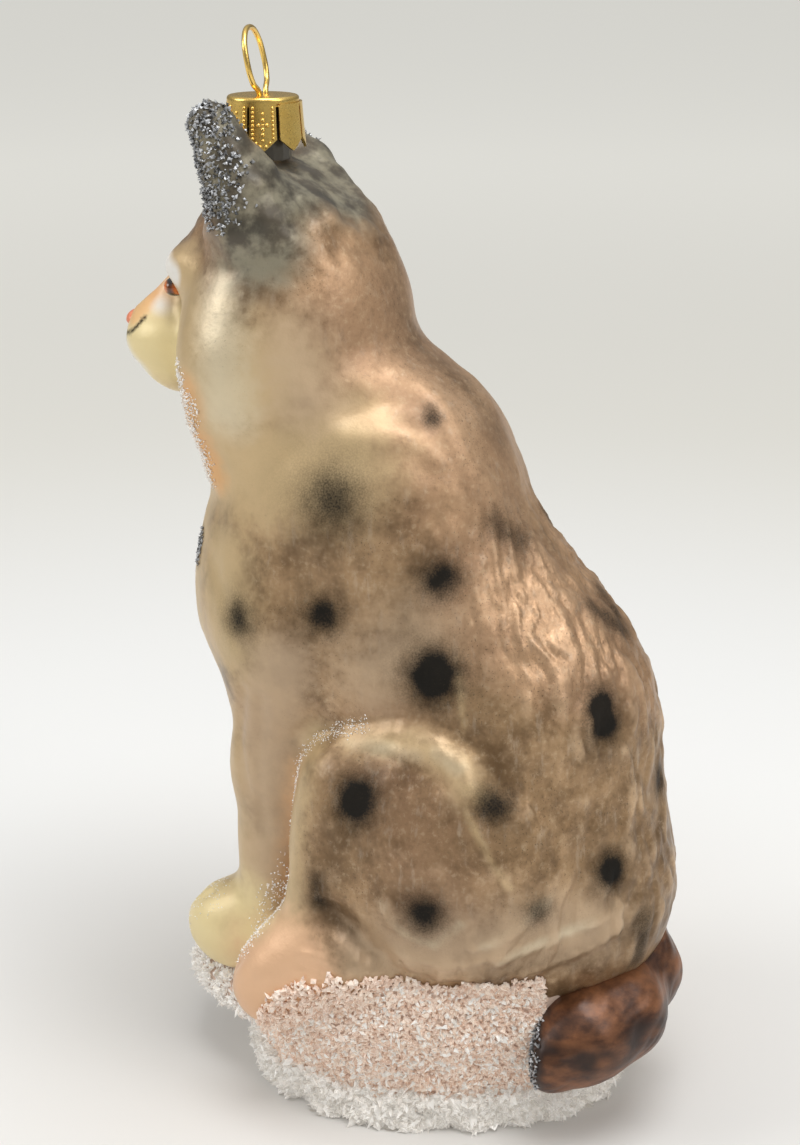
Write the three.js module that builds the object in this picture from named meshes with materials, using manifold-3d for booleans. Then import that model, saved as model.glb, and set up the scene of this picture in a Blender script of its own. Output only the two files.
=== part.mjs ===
// Hanging glass ornament: a lynx sitting on a snowy mound, with a slotted metal cap and a wire loop.
// Millimetres, +Z up. The lynx looks along -Y, and its left side is +X.
import * as THREE from 'three';
import { mergeVertices } from 'three/addons/utils/BufferGeometryUtils.js';
import Module from 'manifold-3d';

const wasm = await Module();
wasm.setup();

// Driving dimensions of the body
const HEAD_Z = 97;
const HEAD_Y = -12.7;
const CHEST_Z = 60;
const HAUNCH_Z = 33;
const RUMP_Z = 27.4;
const PAW_Z = 16;
const LEG_X = 7.6;
const HIND_PAW_X = 17;

// Driving dimensions of the mound
const MOUND_Y = 5;
const MOUND_RADII = [18, 22.2];
const MOUND_TAPER = 0.14;
const MOUND_FLARE = 3.2;
const FLARE_START_Z = 2;
const FLARE_END_Z = 15;
const MOUND_DEPTH = 1;
const MOUND_ROUNDING = 5;
const MOUND_HEADROOM = 3;
const SEAT_Z = 18.5;
const PAW_SEAT_Z = 12;
const SEAT_FRONT_Y = -14;

// Driving dimensions of the metal cap and the wire
const CAP_Y = -16.3;
const CAP_BASE_Z = 111.2;
const CAP_HEIGHT = 5.8;
const CAP_TOP_RADIUS = 4;
const CAP_SKIRT_RADIUS = 4.5;
const CAP_WALL = 0.45;
const CROWN_BEVEL = 0.4;
const CAP_SLOTS = 8;
const CAP_SEGMENTS = 24;
const WIRE_RADIUS = 0.32;
const WIRE_STEPS = 28;
const LOOP_HALF_WIDTH = 3.8;
const LOOP_HEIGHT = 7.6;
const LOOP_TURN = 0.17;
const LOOP_LEAN = 0.2;
const LEG_DEPTH = -3.4;
const HOLE_X = 1.5;
const HOLE_SEGMENTS = 16;
const HOLE_HEIGHT = 4;

// Cuts between neighbours and the grid sizes of the surfaces
const GAP = 0.3;
const HEAD_CELL = 2.5;
const EAR_CELL = 1.6;
const BODY_CELL = 4.3;
const MOUND_CELL = 5;
const TAIL_CELL = 3.1;
const FEATURE_CELL = 1.1;
const CLEAR_OF_CORNER = 0.04;
const DISC_SEGMENTS = 20;
const BIG = 200;

const COLOURS = {
  glass: { color: 0xa08868, roughness: 0.35, metalness: 0.4 },
  paleGlass: { color: 0xd9c394, roughness: 0.35, metalness: 0.4 },
  greyGlass: { color: 0x6f6f66, roughness: 0.4, metalness: 0.4 },
  tail: { color: 0x7a4322, roughness: 0.4, metalness: 0.2 },
  snow: { color: 0xdcccc0, roughness: 0.7, metalness: 0 },
  gold: { color: 0xd7aa3c, roughness: 0.25, metalness: 1 },
  eye: { color: 0xc05a28, roughness: 0.3, metalness: 0 },
  nose: { color: 0xd87f62, roughness: 0.4, metalness: 0 },
};

// Distance fields: a field is a function of x, y and z that is negative inside the shape

function ellipsoid(centre, radii, pitch = 0, yaw = 0) {
  const turn = new THREE.Quaternion().setFromEuler(new THREE.Euler(pitch, 0, yaw, 'ZYX')).invert();
  const point = new THREE.Vector3();
  return (x, y, z) => {
    point.set(x - centre[0], y - centre[1], z - centre[2]).applyQuaternion(turn);
    const scaled = Math.hypot(point.x / radii[0], point.y / radii[1], point.z / radii[2]);
    const slope = Math.hypot(point.x / radii[0] ** 2, point.y / radii[1] ** 2, point.z / radii[2] ** 2);
    return slope === 0 ? -Math.min(...radii) : (scaled * (scaled - 1)) / slope;
  };
}

function limb(start, end, startRadius, endRadius) {
  const from = new THREE.Vector3(...start);
  const along = new THREE.Vector3(...end).sub(from);
  const lengthSquared = along.lengthSq();
  const offset = new THREE.Vector3();
  return (x, y, z) => {
    offset.set(x, y, z).sub(from);
    const t = THREE.MathUtils.clamp(offset.dot(along) / lengthSquared, 0, 1);
    return offset.addScaledVector(along, -t).length() - THREE.MathUtils.lerp(startRadius, endRadius, t);
  };
}

function smoothMin(a, b, blend) {
  const h = Math.max(blend - Math.abs(a - b), 0) / blend;
  return Math.min(a, b) - (h * h * blend) / 4;
}

function join(blend, ...fields) {
  return (x, y, z) => fields.map((field) => field(x, y, z)).reduce((a, b) => smoothMin(a, b, blend));
}

function hollow(field, cutter, blend) {
  return (x, y, z) => -smoothMin(-field(x, y, z), cutter(x, y, z), blend);
}

function bothSides(field) {
  return (x, y, z) => field(Math.abs(x), y, z);
}

function cutOffBelow(field, height) {
  return (x, y, z) => Math.max(field(x, y, z), height - z);
}

function grown(field, distance) {
  return (x, y, z) => field(x, y, z) - distance;
}

// Fills the corners where the surface would touch itself, so that each edge has two faces
function fillCreases(values, stride, filled) {
  const size = values.length;
  let changed = true;
  while (changed) {
    changed = false;
    for (let axis = 0; axis < 3; axis += 1) {
      const u = stride[(axis + 1) % 3];
      const v = stride[(axis + 2) % 3];
      for (let a = 0; a + u + v < size; a += 1) {
        const square = [a, a + u, a + u + v, a + v];
        const inside = square.map((index) => values[index] < 0);
        if (inside[0] === inside[2] && inside[1] === inside[3] && inside[0] !== inside[1]) {
          const outside = square.filter((index) => values[index] > 0);
          values[values[outside[0]] < values[outside[1]] ? outside[0] : outside[1]] = filled;
          changed = true;
        }
      }
    }
  }
}

// Surface of a field inside a box, as one vertex in each cell that the surface crosses
function surface(field, low, high, cell) {
  const start = low.map((value) => value - cell);
  const count = start.map((value, axis) => Math.ceil((high[axis] - value) / cell) + 2);
  const stride = [1, count[0], count[0] * count[1]];
  const at = (index, axis) => start[axis] + index * cell;
  const values = new Float32Array(count[0] * count[1] * count[2]);
  for (let k = 0; k < count[2]; k += 1) {
    for (let j = 0; j < count[1]; j += 1) {
      for (let i = 0; i < count[0]; i += 1) {
        const value = field(at(i, 0), at(j, 1), at(k, 2));
        const clear = Math.max(Math.abs(value), cell * CLEAR_OF_CORNER);
        values[i + j * stride[1] + k * stride[2]] = value < 0 ? -clear : clear;
      }
    }
  }
  fillCreases(values, stride, -cell * CLEAR_OF_CORNER);
  const corners = [0, 1, 2, 3, 4, 5, 6, 7].map((bits) => [bits & 1, (bits >> 1) & 1, (bits >> 2) & 1]);
  const edges = corners.flatMap((a, m) => corners.map((b, n) => [m, n]).filter(([, n]) => {
    const steps = corners[n].reduce((sum, value, axis) => sum + Math.abs(value - a[axis]), 0);
    return n > m && steps === 1;
  }));
  const positions = [];
  const vertexOf = new Map();
  for (let k = 0; k < count[2] - 1; k += 1) {
    for (let j = 0; j < count[1] - 1; j += 1) {
      for (let i = 0; i < count[0] - 1; i += 1) {
        const base = i + j * stride[1] + k * stride[2];
        const sum = [0, 0, 0];
        let crossings = 0;
        for (const [m, n] of edges) {
          const a = values[base + corners[m].reduce((s, c, axis) => s + c * stride[axis], 0)];
          const b = values[base + corners[n].reduce((s, c, axis) => s + c * stride[axis], 0)];
          if (a < 0 !== b < 0) {
            const t = a / (a - b);
            sum.forEach((value, axis) => {
              sum[axis] = value + THREE.MathUtils.lerp(corners[m][axis], corners[n][axis], t);
            });
            crossings += 1;
          }
        }
        if (crossings > 0) {
          vertexOf.set(base, positions.length / 3);
          positions.push(...[i, j, k].map((index, axis) => at(index, axis) + (cell * sum[axis]) / crossings));
        }
      }
    }
  }
  const triangles = [];
  for (let k = 1; k < count[2] - 1; k += 1) {
    for (let j = 1; j < count[1] - 1; j += 1) {
      for (let i = 1; i < count[0] - 1; i += 1) {
        const base = i + j * stride[1] + k * stride[2];
        for (let axis = 0; axis < 3; axis += 1) {
          const inside = values[base] < 0;
          if (inside !== values[base + stride[axis]] < 0) {
            const u = stride[(axis + 1) % 3];
            const v = stride[(axis + 2) % 3];
            const ring = [base, base - u, base - u - v, base - v].map((key) => vertexOf.get(key));
            if (!inside) ring.reverse();
            triangles.push(ring[0], ring[1], ring[2], ring[0], ring[2], ring[3]);
          }
        }
      }
    }
  }
  const geometry = new THREE.BufferGeometry();
  geometry.setAttribute('position', new THREE.Float32BufferAttribute(positions, 3));
  geometry.setIndex(triangles);
  return solidOf(geometry);
}

// Solids: a closed geometry turned into a body that can be cut and joined

function solidOf(geometry) {
  const bare = geometry.clone();
  bare.deleteAttribute('normal');
  bare.deleteAttribute('uv');
  const merged = mergeVertices(bare, 1e-5);
  const mesh = new wasm.Mesh({
    numProp: 3,
    vertProperties: new Float32Array(merged.attributes.position.array),
    triVerts: new Uint32Array(merged.index.array),
  });
  mesh.merge();
  return new wasm.Manifold(mesh);
}

function block(size, centre, turn = [0, 0, 0]) {
  const geometry = new THREE.BoxGeometry(...size);
  geometry.applyMatrix4(new THREE.Matrix4().makeRotationFromEuler(new THREE.Euler(...turn)));
  geometry.translate(...centre);
  return solidOf(geometry);
}

// Parts a solid by a turned block: what is in the block, and what is left with a thin cut between
function part(solid, size, centre, turn = [0, 0, 0]) {
  const inside = solid.intersect(block(size, centre, turn));
  const left = solid.subtract(block(size.map((side) => side + 2 * GAP), centre, turn));
  return [inside, left];
}

// Parts a solid by an oval disc that lies across X, from an inner side outwards
function partByDisc(solid, sign, innerX, centre, radii) {
  const disc = (grow) => {
    const geometry = new THREE.CylinderGeometry(1, 1, BIG, DISC_SEGMENTS).rotateZ(Math.PI / 2);
    geometry.scale(1, radii[0] + grow, radii[1] + grow);
    geometry.translate(sign * (innerX - grow + BIG / 2), centre[0], centre[1]);
    return solidOf(geometry);
  };
  return [solid.intersect(disc(0)), solid.subtract(disc(GAP))];
}

function largest(solid) {
  return solid.decompose().sort((a, b) => b.volume() - a.volume())[0];
}

// Fields of the lynx

const skull = join(
  4,
  ellipsoid([0, HEAD_Y, HEAD_Z - 2.6], [13.8, 12.4, 13.4]),
  limb([0, CAP_Y, 100], [0, CAP_Y, 104.6], 7, 6),
  bothSides(ellipsoid([8, HEAD_Y - 1, HEAD_Z - 9.6], [7.6, 9, 10])),
  bothSides(limb([9, -15.6, 88], [6.2, -17.6, 77.8], 5.9, 3.7)),
);
const face = join(
  2,
  ellipsoid([0, -27.7, 88.4], [5.4, 6.2, 4.6]),
  ellipsoid([0, -26.9, 85.4], [3.6, 3.9, 3.2]),
  limb([0, -21.8, 97.8], [0, -30.7, 90.6], 3.6, 2.2),
  bothSides(ellipsoid([4.8, -22.7, 98.2], [3.2, 3.7, 2.6])),
);
// The right ear leans a little further forward than the left one
const LEFT_EAR = { sign: 1, base: [8.8, -14.4, 105], tip: [10.5, -17.8, 115], radii: [5, 2.4] };
const RIGHT_EAR = { sign: -1, base: [-8.6, -15, 105], tip: [-9.4, -19.8, 112.6], radii: [4.8, 2.3] };
function ear({ sign, base, tip, radii }) {
  return hollow(
    join(
      3,
      limb(base, tip, ...radii),
      limb([sign * 6, -10.9, 102.5], [sign * 8.2, -13.5, 108.7], 4.7, 1.8),
    ),
    ellipsoid([sign * 10.6, -23, 110], [2.8, 3.4, 5]),
    1.5,
  );
}
const headField = join(3, join(3, skull, face), ear(LEFT_EAR), ear(RIGHT_EAR));

const torso = join(
  7,
  limb([0, HEAD_Y + 1.8, HEAD_Z - 8], [0, -6.4, 73], 11.7, 14.5),
  ellipsoid([0, -7.7, CHEST_Z], [16.5, 17.1, 17.4]),
  ellipsoid([0, -0.7, 74.2], [15, 14.2, 13.2]),
  ellipsoid([0, 4.6, 61.1], [14, 13.9, 13.5]),
  ellipsoid([0, 10.9, 45.5], [17, 20.5, 21.4]),
  ellipsoid([0, 13.3, RUMP_Z], [17.5, 20.7, 19.8]),
);
const forelegs = bothSides(
  join(
    3,
    limb([0, -7.5, 54], [0, -5.5, 18], 8, 5.5),
    limb([8, -9.5, 58], [LEG_X, -12, 40], 8.9, 5.6),
    limb([LEG_X, -12, 40], [LEG_X, -12.6, 20], 5.6, 5.1),
    ellipsoid([LEG_X + 0.4, -17.4, PAW_Z + 2], [5.7, 7.1, 5.7]),
  ),
);
const haunches = bothSides(
  join(
    3,
    ellipsoid([13.5, 8.8, HAUNCH_Z], [9.3, 15.6, 16.4]),
    limb([HIND_PAW_X - 0.5, 0, 22], [HIND_PAW_X + 1.2, -9.2, PAW_Z + 0.2], 7, 4.7),
    limb([HIND_PAW_X - 1.5, -2.2, 26.7], [HIND_PAW_X + 1, -7.8, PAW_Z + 3.1], 4.5, 4.5),
  ),
);
const bodyField = join(3, join(4, torso, headField), forelegs, haunches);

// The tail comes down from the rump, lies round the back of the mound and has a flat, blunt tip
const TAIL_Z = 13.9;
const TAIL_TIP = [14.6, 23.8, 11];
const TIP_DIRECTION = new THREE.Vector3(0.25, -0.968, 0);
const TIP_LENGTH = 2.2;
const TIP_ROUNDING = 1.6;
const tailBends = join(
  3,
  limb([-4, 27.2, TAIL_Z + 6.6], [-2.8, 29.4, TAIL_Z + 0.7], 4.2, 4.7),
  limb([-2.8, 29.4, TAIL_Z + 0.7], [6.7, 29.8, TAIL_Z], 4.7, 4.8),
  limb([6.7, 29.8, TAIL_Z], [11.3, 26.9, TAIL_Z - 1], 4.8, 5),
  limb([11.3, 26.9, TAIL_Z - 1], TAIL_TIP, 5, 3.9),
);
function beforeTip(x, y, z) {
  const offset = new THREE.Vector3(x - TAIL_TIP[0], y - TAIL_TIP[1], z - TAIL_TIP[2]);
  return TIP_LENGTH - offset.dot(TIP_DIRECTION);
}
const tailField = hollow(tailBends, beforeTip, TIP_ROUNDING);

// The mound is a pedestal that widens upwards, with a thin lip under the front paws
function pedestal(x, y, z) {
  const back = (y - MOUND_Y) / MOUND_RADII[1];
  const width = MOUND_RADII[0] * (1 - MOUND_TAPER * back);
  const flare = MOUND_FLARE * THREE.MathUtils.smoothstep(z, FLARE_START_Z, FLARE_END_Z);
  const wall = (Math.hypot(x / width, back) - 1) * MOUND_RADII[0] - flare;
  return Math.max(-smoothMin(-wall, z + MOUND_DEPTH, MOUND_ROUNDING), z - SEAT_Z - MOUND_HEADROOM);
}
const moundField = join(2, pedestal, ellipsoid([0, -13, 10.8], [13.6, 13.8, 2.8]));

// The seat is the surface where the lynx meets the mound: low at the paws and high under the rump
function aboveSeat(lift) {
  const outline = new THREE.Shape([
    new THREE.Vector2(-BIG, PAW_SEAT_Z + lift),
    new THREE.Vector2(SEAT_FRONT_Y, PAW_SEAT_Z + lift),
    new THREE.Vector2(0, SEAT_Z + lift),
    new THREE.Vector2(BIG, SEAT_Z + lift),
    new THREE.Vector2(BIG, BIG),
    new THREE.Vector2(-BIG, BIG),
  ]);
  const geometry = new THREE.ExtrudeGeometry(outline, { depth: BIG, bevelEnabled: false });
  geometry.applyMatrix4(new THREE.Matrix4().makeBasis(
    new THREE.Vector3(0, 1, 0),
    new THREE.Vector3(0, 0, 1),
    new THREE.Vector3(1, 0, 0),
  ));
  geometry.translate(-BIG / 2, 0, 0);
  return solidOf(geometry);
}

// Solids of the lynx, parted where a person would name its pieces

const BODY_LOW = [-9.5 * BODY_CELL, -45, 6];
const BODY_HIGH = [9.5 * BODY_CELL, 45, 122];
const HEAD_LOW = [-10.5 * HEAD_CELL, -40, 66];
const HEAD_HIGH = [10.5 * HEAD_CELL, 24, 124];
const HEAD_FLOOR_Z = 69;

const NECK_CUT = { z: 81, y: -9, turn: [0.5, 0, 0] };
const NECK_BASE_CUT = { z: 71, y: -6, turn: [0.45, 0, 0] };

function above(cut) {
  const up = new THREE.Vector3(0, 0, BIG / 2).applyEuler(new THREE.Euler(...cut.turn));
  return [[BIG, BIG, BIG], [up.x, cut.y + up.y, cut.z + up.z], cut.turn];
}

const TAIL_LOW = [-18, 14, 2];
const TAIL_HIGH = [24, 42, 26];
const tailSolid = surface(tailField, TAIL_LOW, TAIL_HIGH, TAIL_CELL);
const tailRoom = surface(grown(tailField, GAP), TAIL_LOW, TAIL_HIGH, TAIL_CELL);
const wholeBody = surface(bodyField, BODY_LOW, BODY_HIGH, BODY_CELL).intersect(aboveSeat(0));
const fineHead = surface(cutOffBelow(bodyField, HEAD_FLOOR_Z), HEAD_LOW, HEAD_HIGH, HEAD_CELL);

const headAndEars = fineHead.intersect(block(...above(NECK_CUT)));
const [, belowHead] = part(wholeBody, ...above(NECK_CUT));
const [neck, belowNeck] = part(belowHead, ...above(NECK_BASE_CUT));

const nodes = [];

function add(name, solid, look) {
  nodes.push({ name, solid, look });
}

// Ears are parted by a slanting cut on each side of the cap
const EAR_CUT = { x: 8.5, z: 108.5, slant: 0.8 };
const EAR_LOW = [-11.5 * EAR_CELL, -32, 98];
const EAR_HIGH = [11.5 * EAR_CELL, 8, 120];
const EAR_FLOOR_Z = 100;
const fineEars = surface(cutOffBelow(bodyField, EAR_FLOOR_Z), EAR_LOW, EAR_HIGH, EAR_CELL);
let head = headAndEars;
for (const [side, sign] of [['left', 1], ['right', -1]]) {
  const turn = [0, sign * EAR_CUT.slant, 0];
  const up = new THREE.Vector3(0, 0, BIG / 2).applyEuler(new THREE.Euler(...turn));
  const centre = [sign * EAR_CUT.x + up.x, up.y, EAR_CUT.z + up.z];
  const [, rest] = part(head, [BIG, BIG, BIG], centre, turn);
  const [earSolid] = part(fineEars, [BIG, BIG, BIG], centre, turn);
  add(`${side}_ear`, largest(earSolid), 'greyGlass');
  head = rest;
}

// Eyes and nose are thin raised patches let into the head
const EYE = { centre: [3.9, -25.6, 95.4], radii: [1.7, 1.5, 1.3] };
const NOSE = { centre: [0, -32.6, 90.5], radii: [2, 1.5, 1.3] };
const PATCH_MARGIN = 2;
function patch(spot, sign, grow) {
  const centre = [spot.centre[0] * sign, spot.centre[1], spot.centre[2]];
  const reach = Math.max(...spot.radii) + PATCH_MARGIN;
  const field = grown(ellipsoid(centre, spot.radii), grow);
  return surface(field, centre.map((c) => c - reach), centre.map((c) => c + reach), FEATURE_CELL);
}
for (const [name, spot, sign, look] of [
  ['left_eye', EYE, 1, 'eye'],
  ['right_eye', EYE, -1, 'eye'],
  ['nose', NOSE, 1, 'nose'],
]) {
  head = head.subtract(patch(spot, sign, GAP));
  add(name, patch(spot, sign, 0), look);
}

// Neck of the glass under the cap, an open tube that stands on the crown of the head
const TUBE_OUTER = 3.1;
const TUBE_SEGMENTS = 16;
const TUBE_INNER = 2.3;
const TUBE_BASE_Z = 109.5;
const TUBE_TOP_Z = CAP_BASE_Z + CAP_HEIGHT - CAP_WALL - GAP;
function ring(inner, outer, low, high, segments) {
  const profile = [[inner, low], [outer, low], [outer, high], [inner, high], [inner, low]];
  const geometry = new THREE.LatheGeometry(profile.map(([r, z]) => new THREE.Vector2(r, z)), segments);
  geometry.rotateX(Math.PI / 2);
  return geometry;
}
const tube = ring(TUBE_INNER, TUBE_OUTER, TUBE_BASE_Z, TUBE_TOP_Z, TUBE_SEGMENTS).translate(0, CAP_Y, 0);
const ROOM_HEIGHT = 20;
const tubeRoom = new THREE.CylinderGeometry(TUBE_OUTER + GAP, TUBE_OUTER + GAP, ROOM_HEIGHT, TUBE_SEGMENTS)
  .rotateX(Math.PI / 2)
  .translate(0, CAP_Y, TUBE_BASE_Z - GAP + ROOM_HEIGHT / 2);
add('glass_neck', solidOf(tube), 'greyGlass');
head = largest(head.subtract(solidOf(tubeRoom)));
add('head', head, 'glass');
add('neck', largest(neck), 'glass');

// Hind paws and haunches
const HIND_PAW_BLOCK = { size: [30, 30, 30], x: 28.4, y: -18.5, z: 7 };
const HAUNCH_DISC = { innerX: 11, centre: [9.5, 33], radii: [17.5, 18] };
let trunk = belowNeck.subtract(tailRoom);
for (const [side, sign] of [['left', 1], ['right', -1]]) {
  const { size, x, y, z } = HIND_PAW_BLOCK;
  const [paw, pawRest] = part(trunk, size, [sign * x, y, z]);
  const { innerX, centre, radii } = HAUNCH_DISC;
  const [haunch, haunchRest] = partByDisc(pawRest, sign, innerX, centre, radii);
  add(`${side}_hind_paw`, largest(paw), 'paleGlass');
  add(`${side}_haunch`, largest(haunch), 'glass');
  trunk = haunchRest;
}

// Forelegs and front paws
const LEG_BLOCK = { width: 12.9, depth: 40, height: 46, backY: -6.5 };
const PAW_TOP_Z = 21;
for (const [side, sign] of [['left', 1], ['right', -1]]) {
  const { width, depth, height, backY } = LEG_BLOCK;
  const centre = [sign * (width / 2 + GAP / 2), backY - depth / 2, height / 2];
  const [leg, rest] = part(trunk, [width, depth, height], centre);
  const [upper, lower] = part(leg, [BIG, BIG, BIG], [0, 0, PAW_TOP_Z + BIG / 2]);
  add(`${side}_foreleg`, largest(upper), 'paleGlass');
  add(`${side}_front_paw`, largest(lower), 'paleGlass');
  trunk = rest;
}
add('trunk', largest(trunk), 'glass');
add('tail', largest(tailSolid), 'tail');

// Snowy mound with a flat base, hollowed where the lynx and its tail sit
const moundBlock = surface(moundField, [-6.5 * MOUND_CELL, -30, -7], [6.5 * MOUND_CELL, 42, 27], MOUND_CELL);
const mound = moundBlock
  .subtract(block([BIG, BIG, BIG], [0, 0, -BIG / 2]))
  .subtract(aboveSeat(-GAP))
  .subtract(tailRoom);
add('snow_mound', largest(mound), 'snow');

// Metal cap: a thin crown with a flat top, slotted up its skirt into pointed tabs
const CAP_TOP_Z = CAP_BASE_Z + CAP_HEIGHT;
const capProfile = [
  [CAP_SKIRT_RADIUS - CAP_WALL, CAP_BASE_Z],
  [CAP_SKIRT_RADIUS, CAP_BASE_Z],
  [CAP_TOP_RADIUS, CAP_TOP_Z - CROWN_BEVEL],
  [CAP_TOP_RADIUS - CROWN_BEVEL, CAP_TOP_Z],
  [0, CAP_TOP_Z],
  [0, CAP_TOP_Z - CAP_WALL],
  [CAP_TOP_RADIUS - CAP_WALL, CAP_TOP_Z - CAP_WALL],
  [CAP_SKIRT_RADIUS - CAP_WALL, CAP_BASE_Z],
];
const capShape = new THREE.LatheGeometry(capProfile.map(([r, z]) => new THREE.Vector2(r, z)), CAP_SEGMENTS);
capShape.rotateX(Math.PI / 2);
const SLOT_WIDTH = 0.45;
const SLOT_MOUTH = 1.5;
const SLOT_HEIGHT = 4.6;
const SLOT_START = 2.6;
const SLOT_REACH = 3;
const MOUTH_HEIGHT = 1.1;
const slotOutline = new THREE.Shape([
  new THREE.Vector2(-SLOT_MOUTH, -1),
  new THREE.Vector2(SLOT_MOUTH, -1),
  new THREE.Vector2(SLOT_WIDTH / 2, MOUTH_HEIGHT),
  new THREE.Vector2(SLOT_WIDTH / 2, SLOT_HEIGHT),
  new THREE.Vector2(-SLOT_WIDTH / 2, SLOT_HEIGHT),
  new THREE.Vector2(-SLOT_WIDTH / 2, MOUTH_HEIGHT),
]);
let cap = solidOf(capShape);
for (let slot = 0; slot < CAP_SLOTS; slot += 1) {
  const cutter = new THREE.ExtrudeGeometry(slotOutline, { depth: SLOT_REACH, bevelEnabled: false });
  cutter.rotateX(Math.PI / 2);
  cutter.translate(0, -SLOT_START, CAP_BASE_Z);
  cutter.rotateZ((slot * 2 * Math.PI) / CAP_SLOTS);
  cap = cap.subtract(solidOf(cutter));
}

// Wire loop: a springy wire whose legs go through two holes in the cap into the glass neck
const loopPoints = [
  [-HOLE_X - 0.2, LEG_DEPTH],
  [-HOLE_X, -1],
  [-HOLE_X, 0.2],
  [-LOOP_HALF_WIDTH + 0.5, 1.6],
  [-LOOP_HALF_WIDTH, 3.9],
  [-LOOP_HALF_WIDTH + 0.9, 6.2],
  [0, LOOP_HEIGHT - WIRE_RADIUS],
];
const mirrored = loopPoints.slice(0, -1).reverse().map(([s, h]) => [-s, h]);
const loopCurve = new THREE.CatmullRomCurve3(
  [...loopPoints, ...mirrored].map(([s, h]) => new THREE.Vector3(s, -Math.max(h, 0) * LOOP_LEAN, h)),
);
const wireSection = new THREE.Shape().absarc(0, 0, WIRE_RADIUS, 0, 2 * Math.PI);
const wire = new THREE.ExtrudeGeometry(wireSection, {
  steps: WIRE_STEPS,
  curveSegments: 4,
  extrudePath: loopCurve,
});
wire.rotateZ(LOOP_TURN);
wire.translate(0, CAP_Y, CAP_TOP_Z);
for (const sign of [-1, 1]) {
  const hole = new THREE.CylinderGeometry(WIRE_RADIUS + GAP, WIRE_RADIUS + GAP, HOLE_HEIGHT, HOLE_SEGMENTS);
  hole.rotateX(Math.PI / 2);
  hole.translate(sign * HOLE_X, 0, CAP_TOP_Z);
  hole.rotateZ(LOOP_TURN);
  cap = cap.subtract(solidOf(hole));
}
add('cap', cap.translate([0, CAP_Y, 0]), 'gold');
add('wire_loop', solidOf(wire), 'gold');

// Scene graph, shifted so that the middle of the base outline is the origin

const object = new THREE.Group();
for (const { name, solid, look } of nodes) {
  const mesh = solid.getMesh();
  const geometry = new THREE.BufferGeometry();
  geometry.setAttribute('position', new THREE.BufferAttribute(mesh.vertProperties, 3));
  geometry.setIndex(new THREE.BufferAttribute(mesh.triVerts, 1));
  geometry.computeVertexNormals();
  const part3d = new THREE.Mesh(geometry, new THREE.MeshStandardMaterial(COLOURS[look]));
  part3d.name = name;
  object.add(part3d);
}
const box = new THREE.Box3().setFromObject(object);
const middle = box.getCenter(new THREE.Vector3());
for (const mesh of object.children) {
  mesh.position.set(-middle.x, -middle.y, -box.min.z);
}

export default object;
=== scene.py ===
import math

import bpy
import numpy as np
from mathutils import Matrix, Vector, noise


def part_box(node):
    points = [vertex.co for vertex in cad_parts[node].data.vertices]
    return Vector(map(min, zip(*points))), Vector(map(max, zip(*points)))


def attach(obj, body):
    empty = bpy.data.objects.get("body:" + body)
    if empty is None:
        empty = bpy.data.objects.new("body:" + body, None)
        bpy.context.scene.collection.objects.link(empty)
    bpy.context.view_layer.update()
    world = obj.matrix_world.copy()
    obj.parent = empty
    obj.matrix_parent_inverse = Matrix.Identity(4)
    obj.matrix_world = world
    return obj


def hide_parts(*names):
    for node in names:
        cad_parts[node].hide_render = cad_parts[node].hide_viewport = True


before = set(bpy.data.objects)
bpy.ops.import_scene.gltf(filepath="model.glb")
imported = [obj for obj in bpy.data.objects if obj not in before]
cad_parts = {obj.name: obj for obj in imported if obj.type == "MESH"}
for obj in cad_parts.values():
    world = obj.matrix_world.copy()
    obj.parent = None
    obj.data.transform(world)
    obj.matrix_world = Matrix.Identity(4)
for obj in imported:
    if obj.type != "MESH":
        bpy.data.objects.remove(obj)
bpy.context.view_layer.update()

# Places are written in the drawing's millimetres: the lynx looks along -Y, and its left is +X.
# The frame's glass neck says how far the drawing lies from the frame's middle
MM = 0.001
CAP_Y = -16.3
neck_low, neck_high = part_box("glass_neck")
DRAWING_Y = (neck_low[1] + neck_high[1]) / 2 / MM - CAP_Y
DRAWING_SHIFT = np.array([0.0, DRAWING_Y, 0.0])


def place(x, y, z):
    return Vector((x * MM, (y + DRAWING_Y) * MM, z * MM))


# Modelling helpers


def clear_selection():
    bpy.ops.object.select_all(action="DESELECT")


def select_only(*things):
    clear_selection()
    for thing in things:
        thing.select_set(True)
    bpy.context.view_layer.objects.active = things[0]


def settle_transform(thing):
    select_only(thing)
    bpy.ops.object.transform_apply(location=True, rotation=True, scale=True)


def add_ball(centre, radii, segments=32, rings=20):
    clear_selection()
    bpy.ops.mesh.primitive_uv_sphere_add(
        segments=segments, ring_count=rings, radius=1, location=place(*centre)
    )
    ball = bpy.context.object
    ball.scale = [radius * MM for radius in radii]
    settle_transform(ball)
    return ball


def add_limb(start, end, start_radius, end_radius):
    low = place(*start)
    high = place(*end)
    clear_selection()
    bpy.ops.mesh.primitive_cone_add(
        vertices=28,
        radius1=start_radius * MM,
        radius2=end_radius * MM,
        depth=(high - low).length,
        location=(low + high) / 2,
        rotation=(high - low).to_track_quat("Z", "Y").to_euler(),
    )
    shaft = bpy.context.object
    settle_transform(shaft)
    knobs = [
        add_ball(start, [start_radius] * 3, 20, 12),
        add_ball(end, [end_radius] * 3, 20, 12),
    ]
    return join_pieces(shaft, *knobs)


def join_pieces(*things):
    select_only(*things)
    bpy.ops.object.join()
    return bpy.context.object


def apply_modifier(thing, kind, **settings):
    select_only(thing)
    modifier = thing.modifiers.new(kind.title(), kind)
    for key, value in settings.items():
        setattr(modifier, key, value)
    bpy.ops.object.modifier_apply(modifier=modifier.name)


def name_piece(thing, name):
    thing.name = name
    thing.data.name = name
    return thing


def shade(thing, angle=None):
    select_only(thing)
    if angle is None:
        bpy.ops.object.shade_smooth()
    else:
        bpy.ops.object.shade_smooth_by_angle(angle=math.radians(angle))


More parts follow.
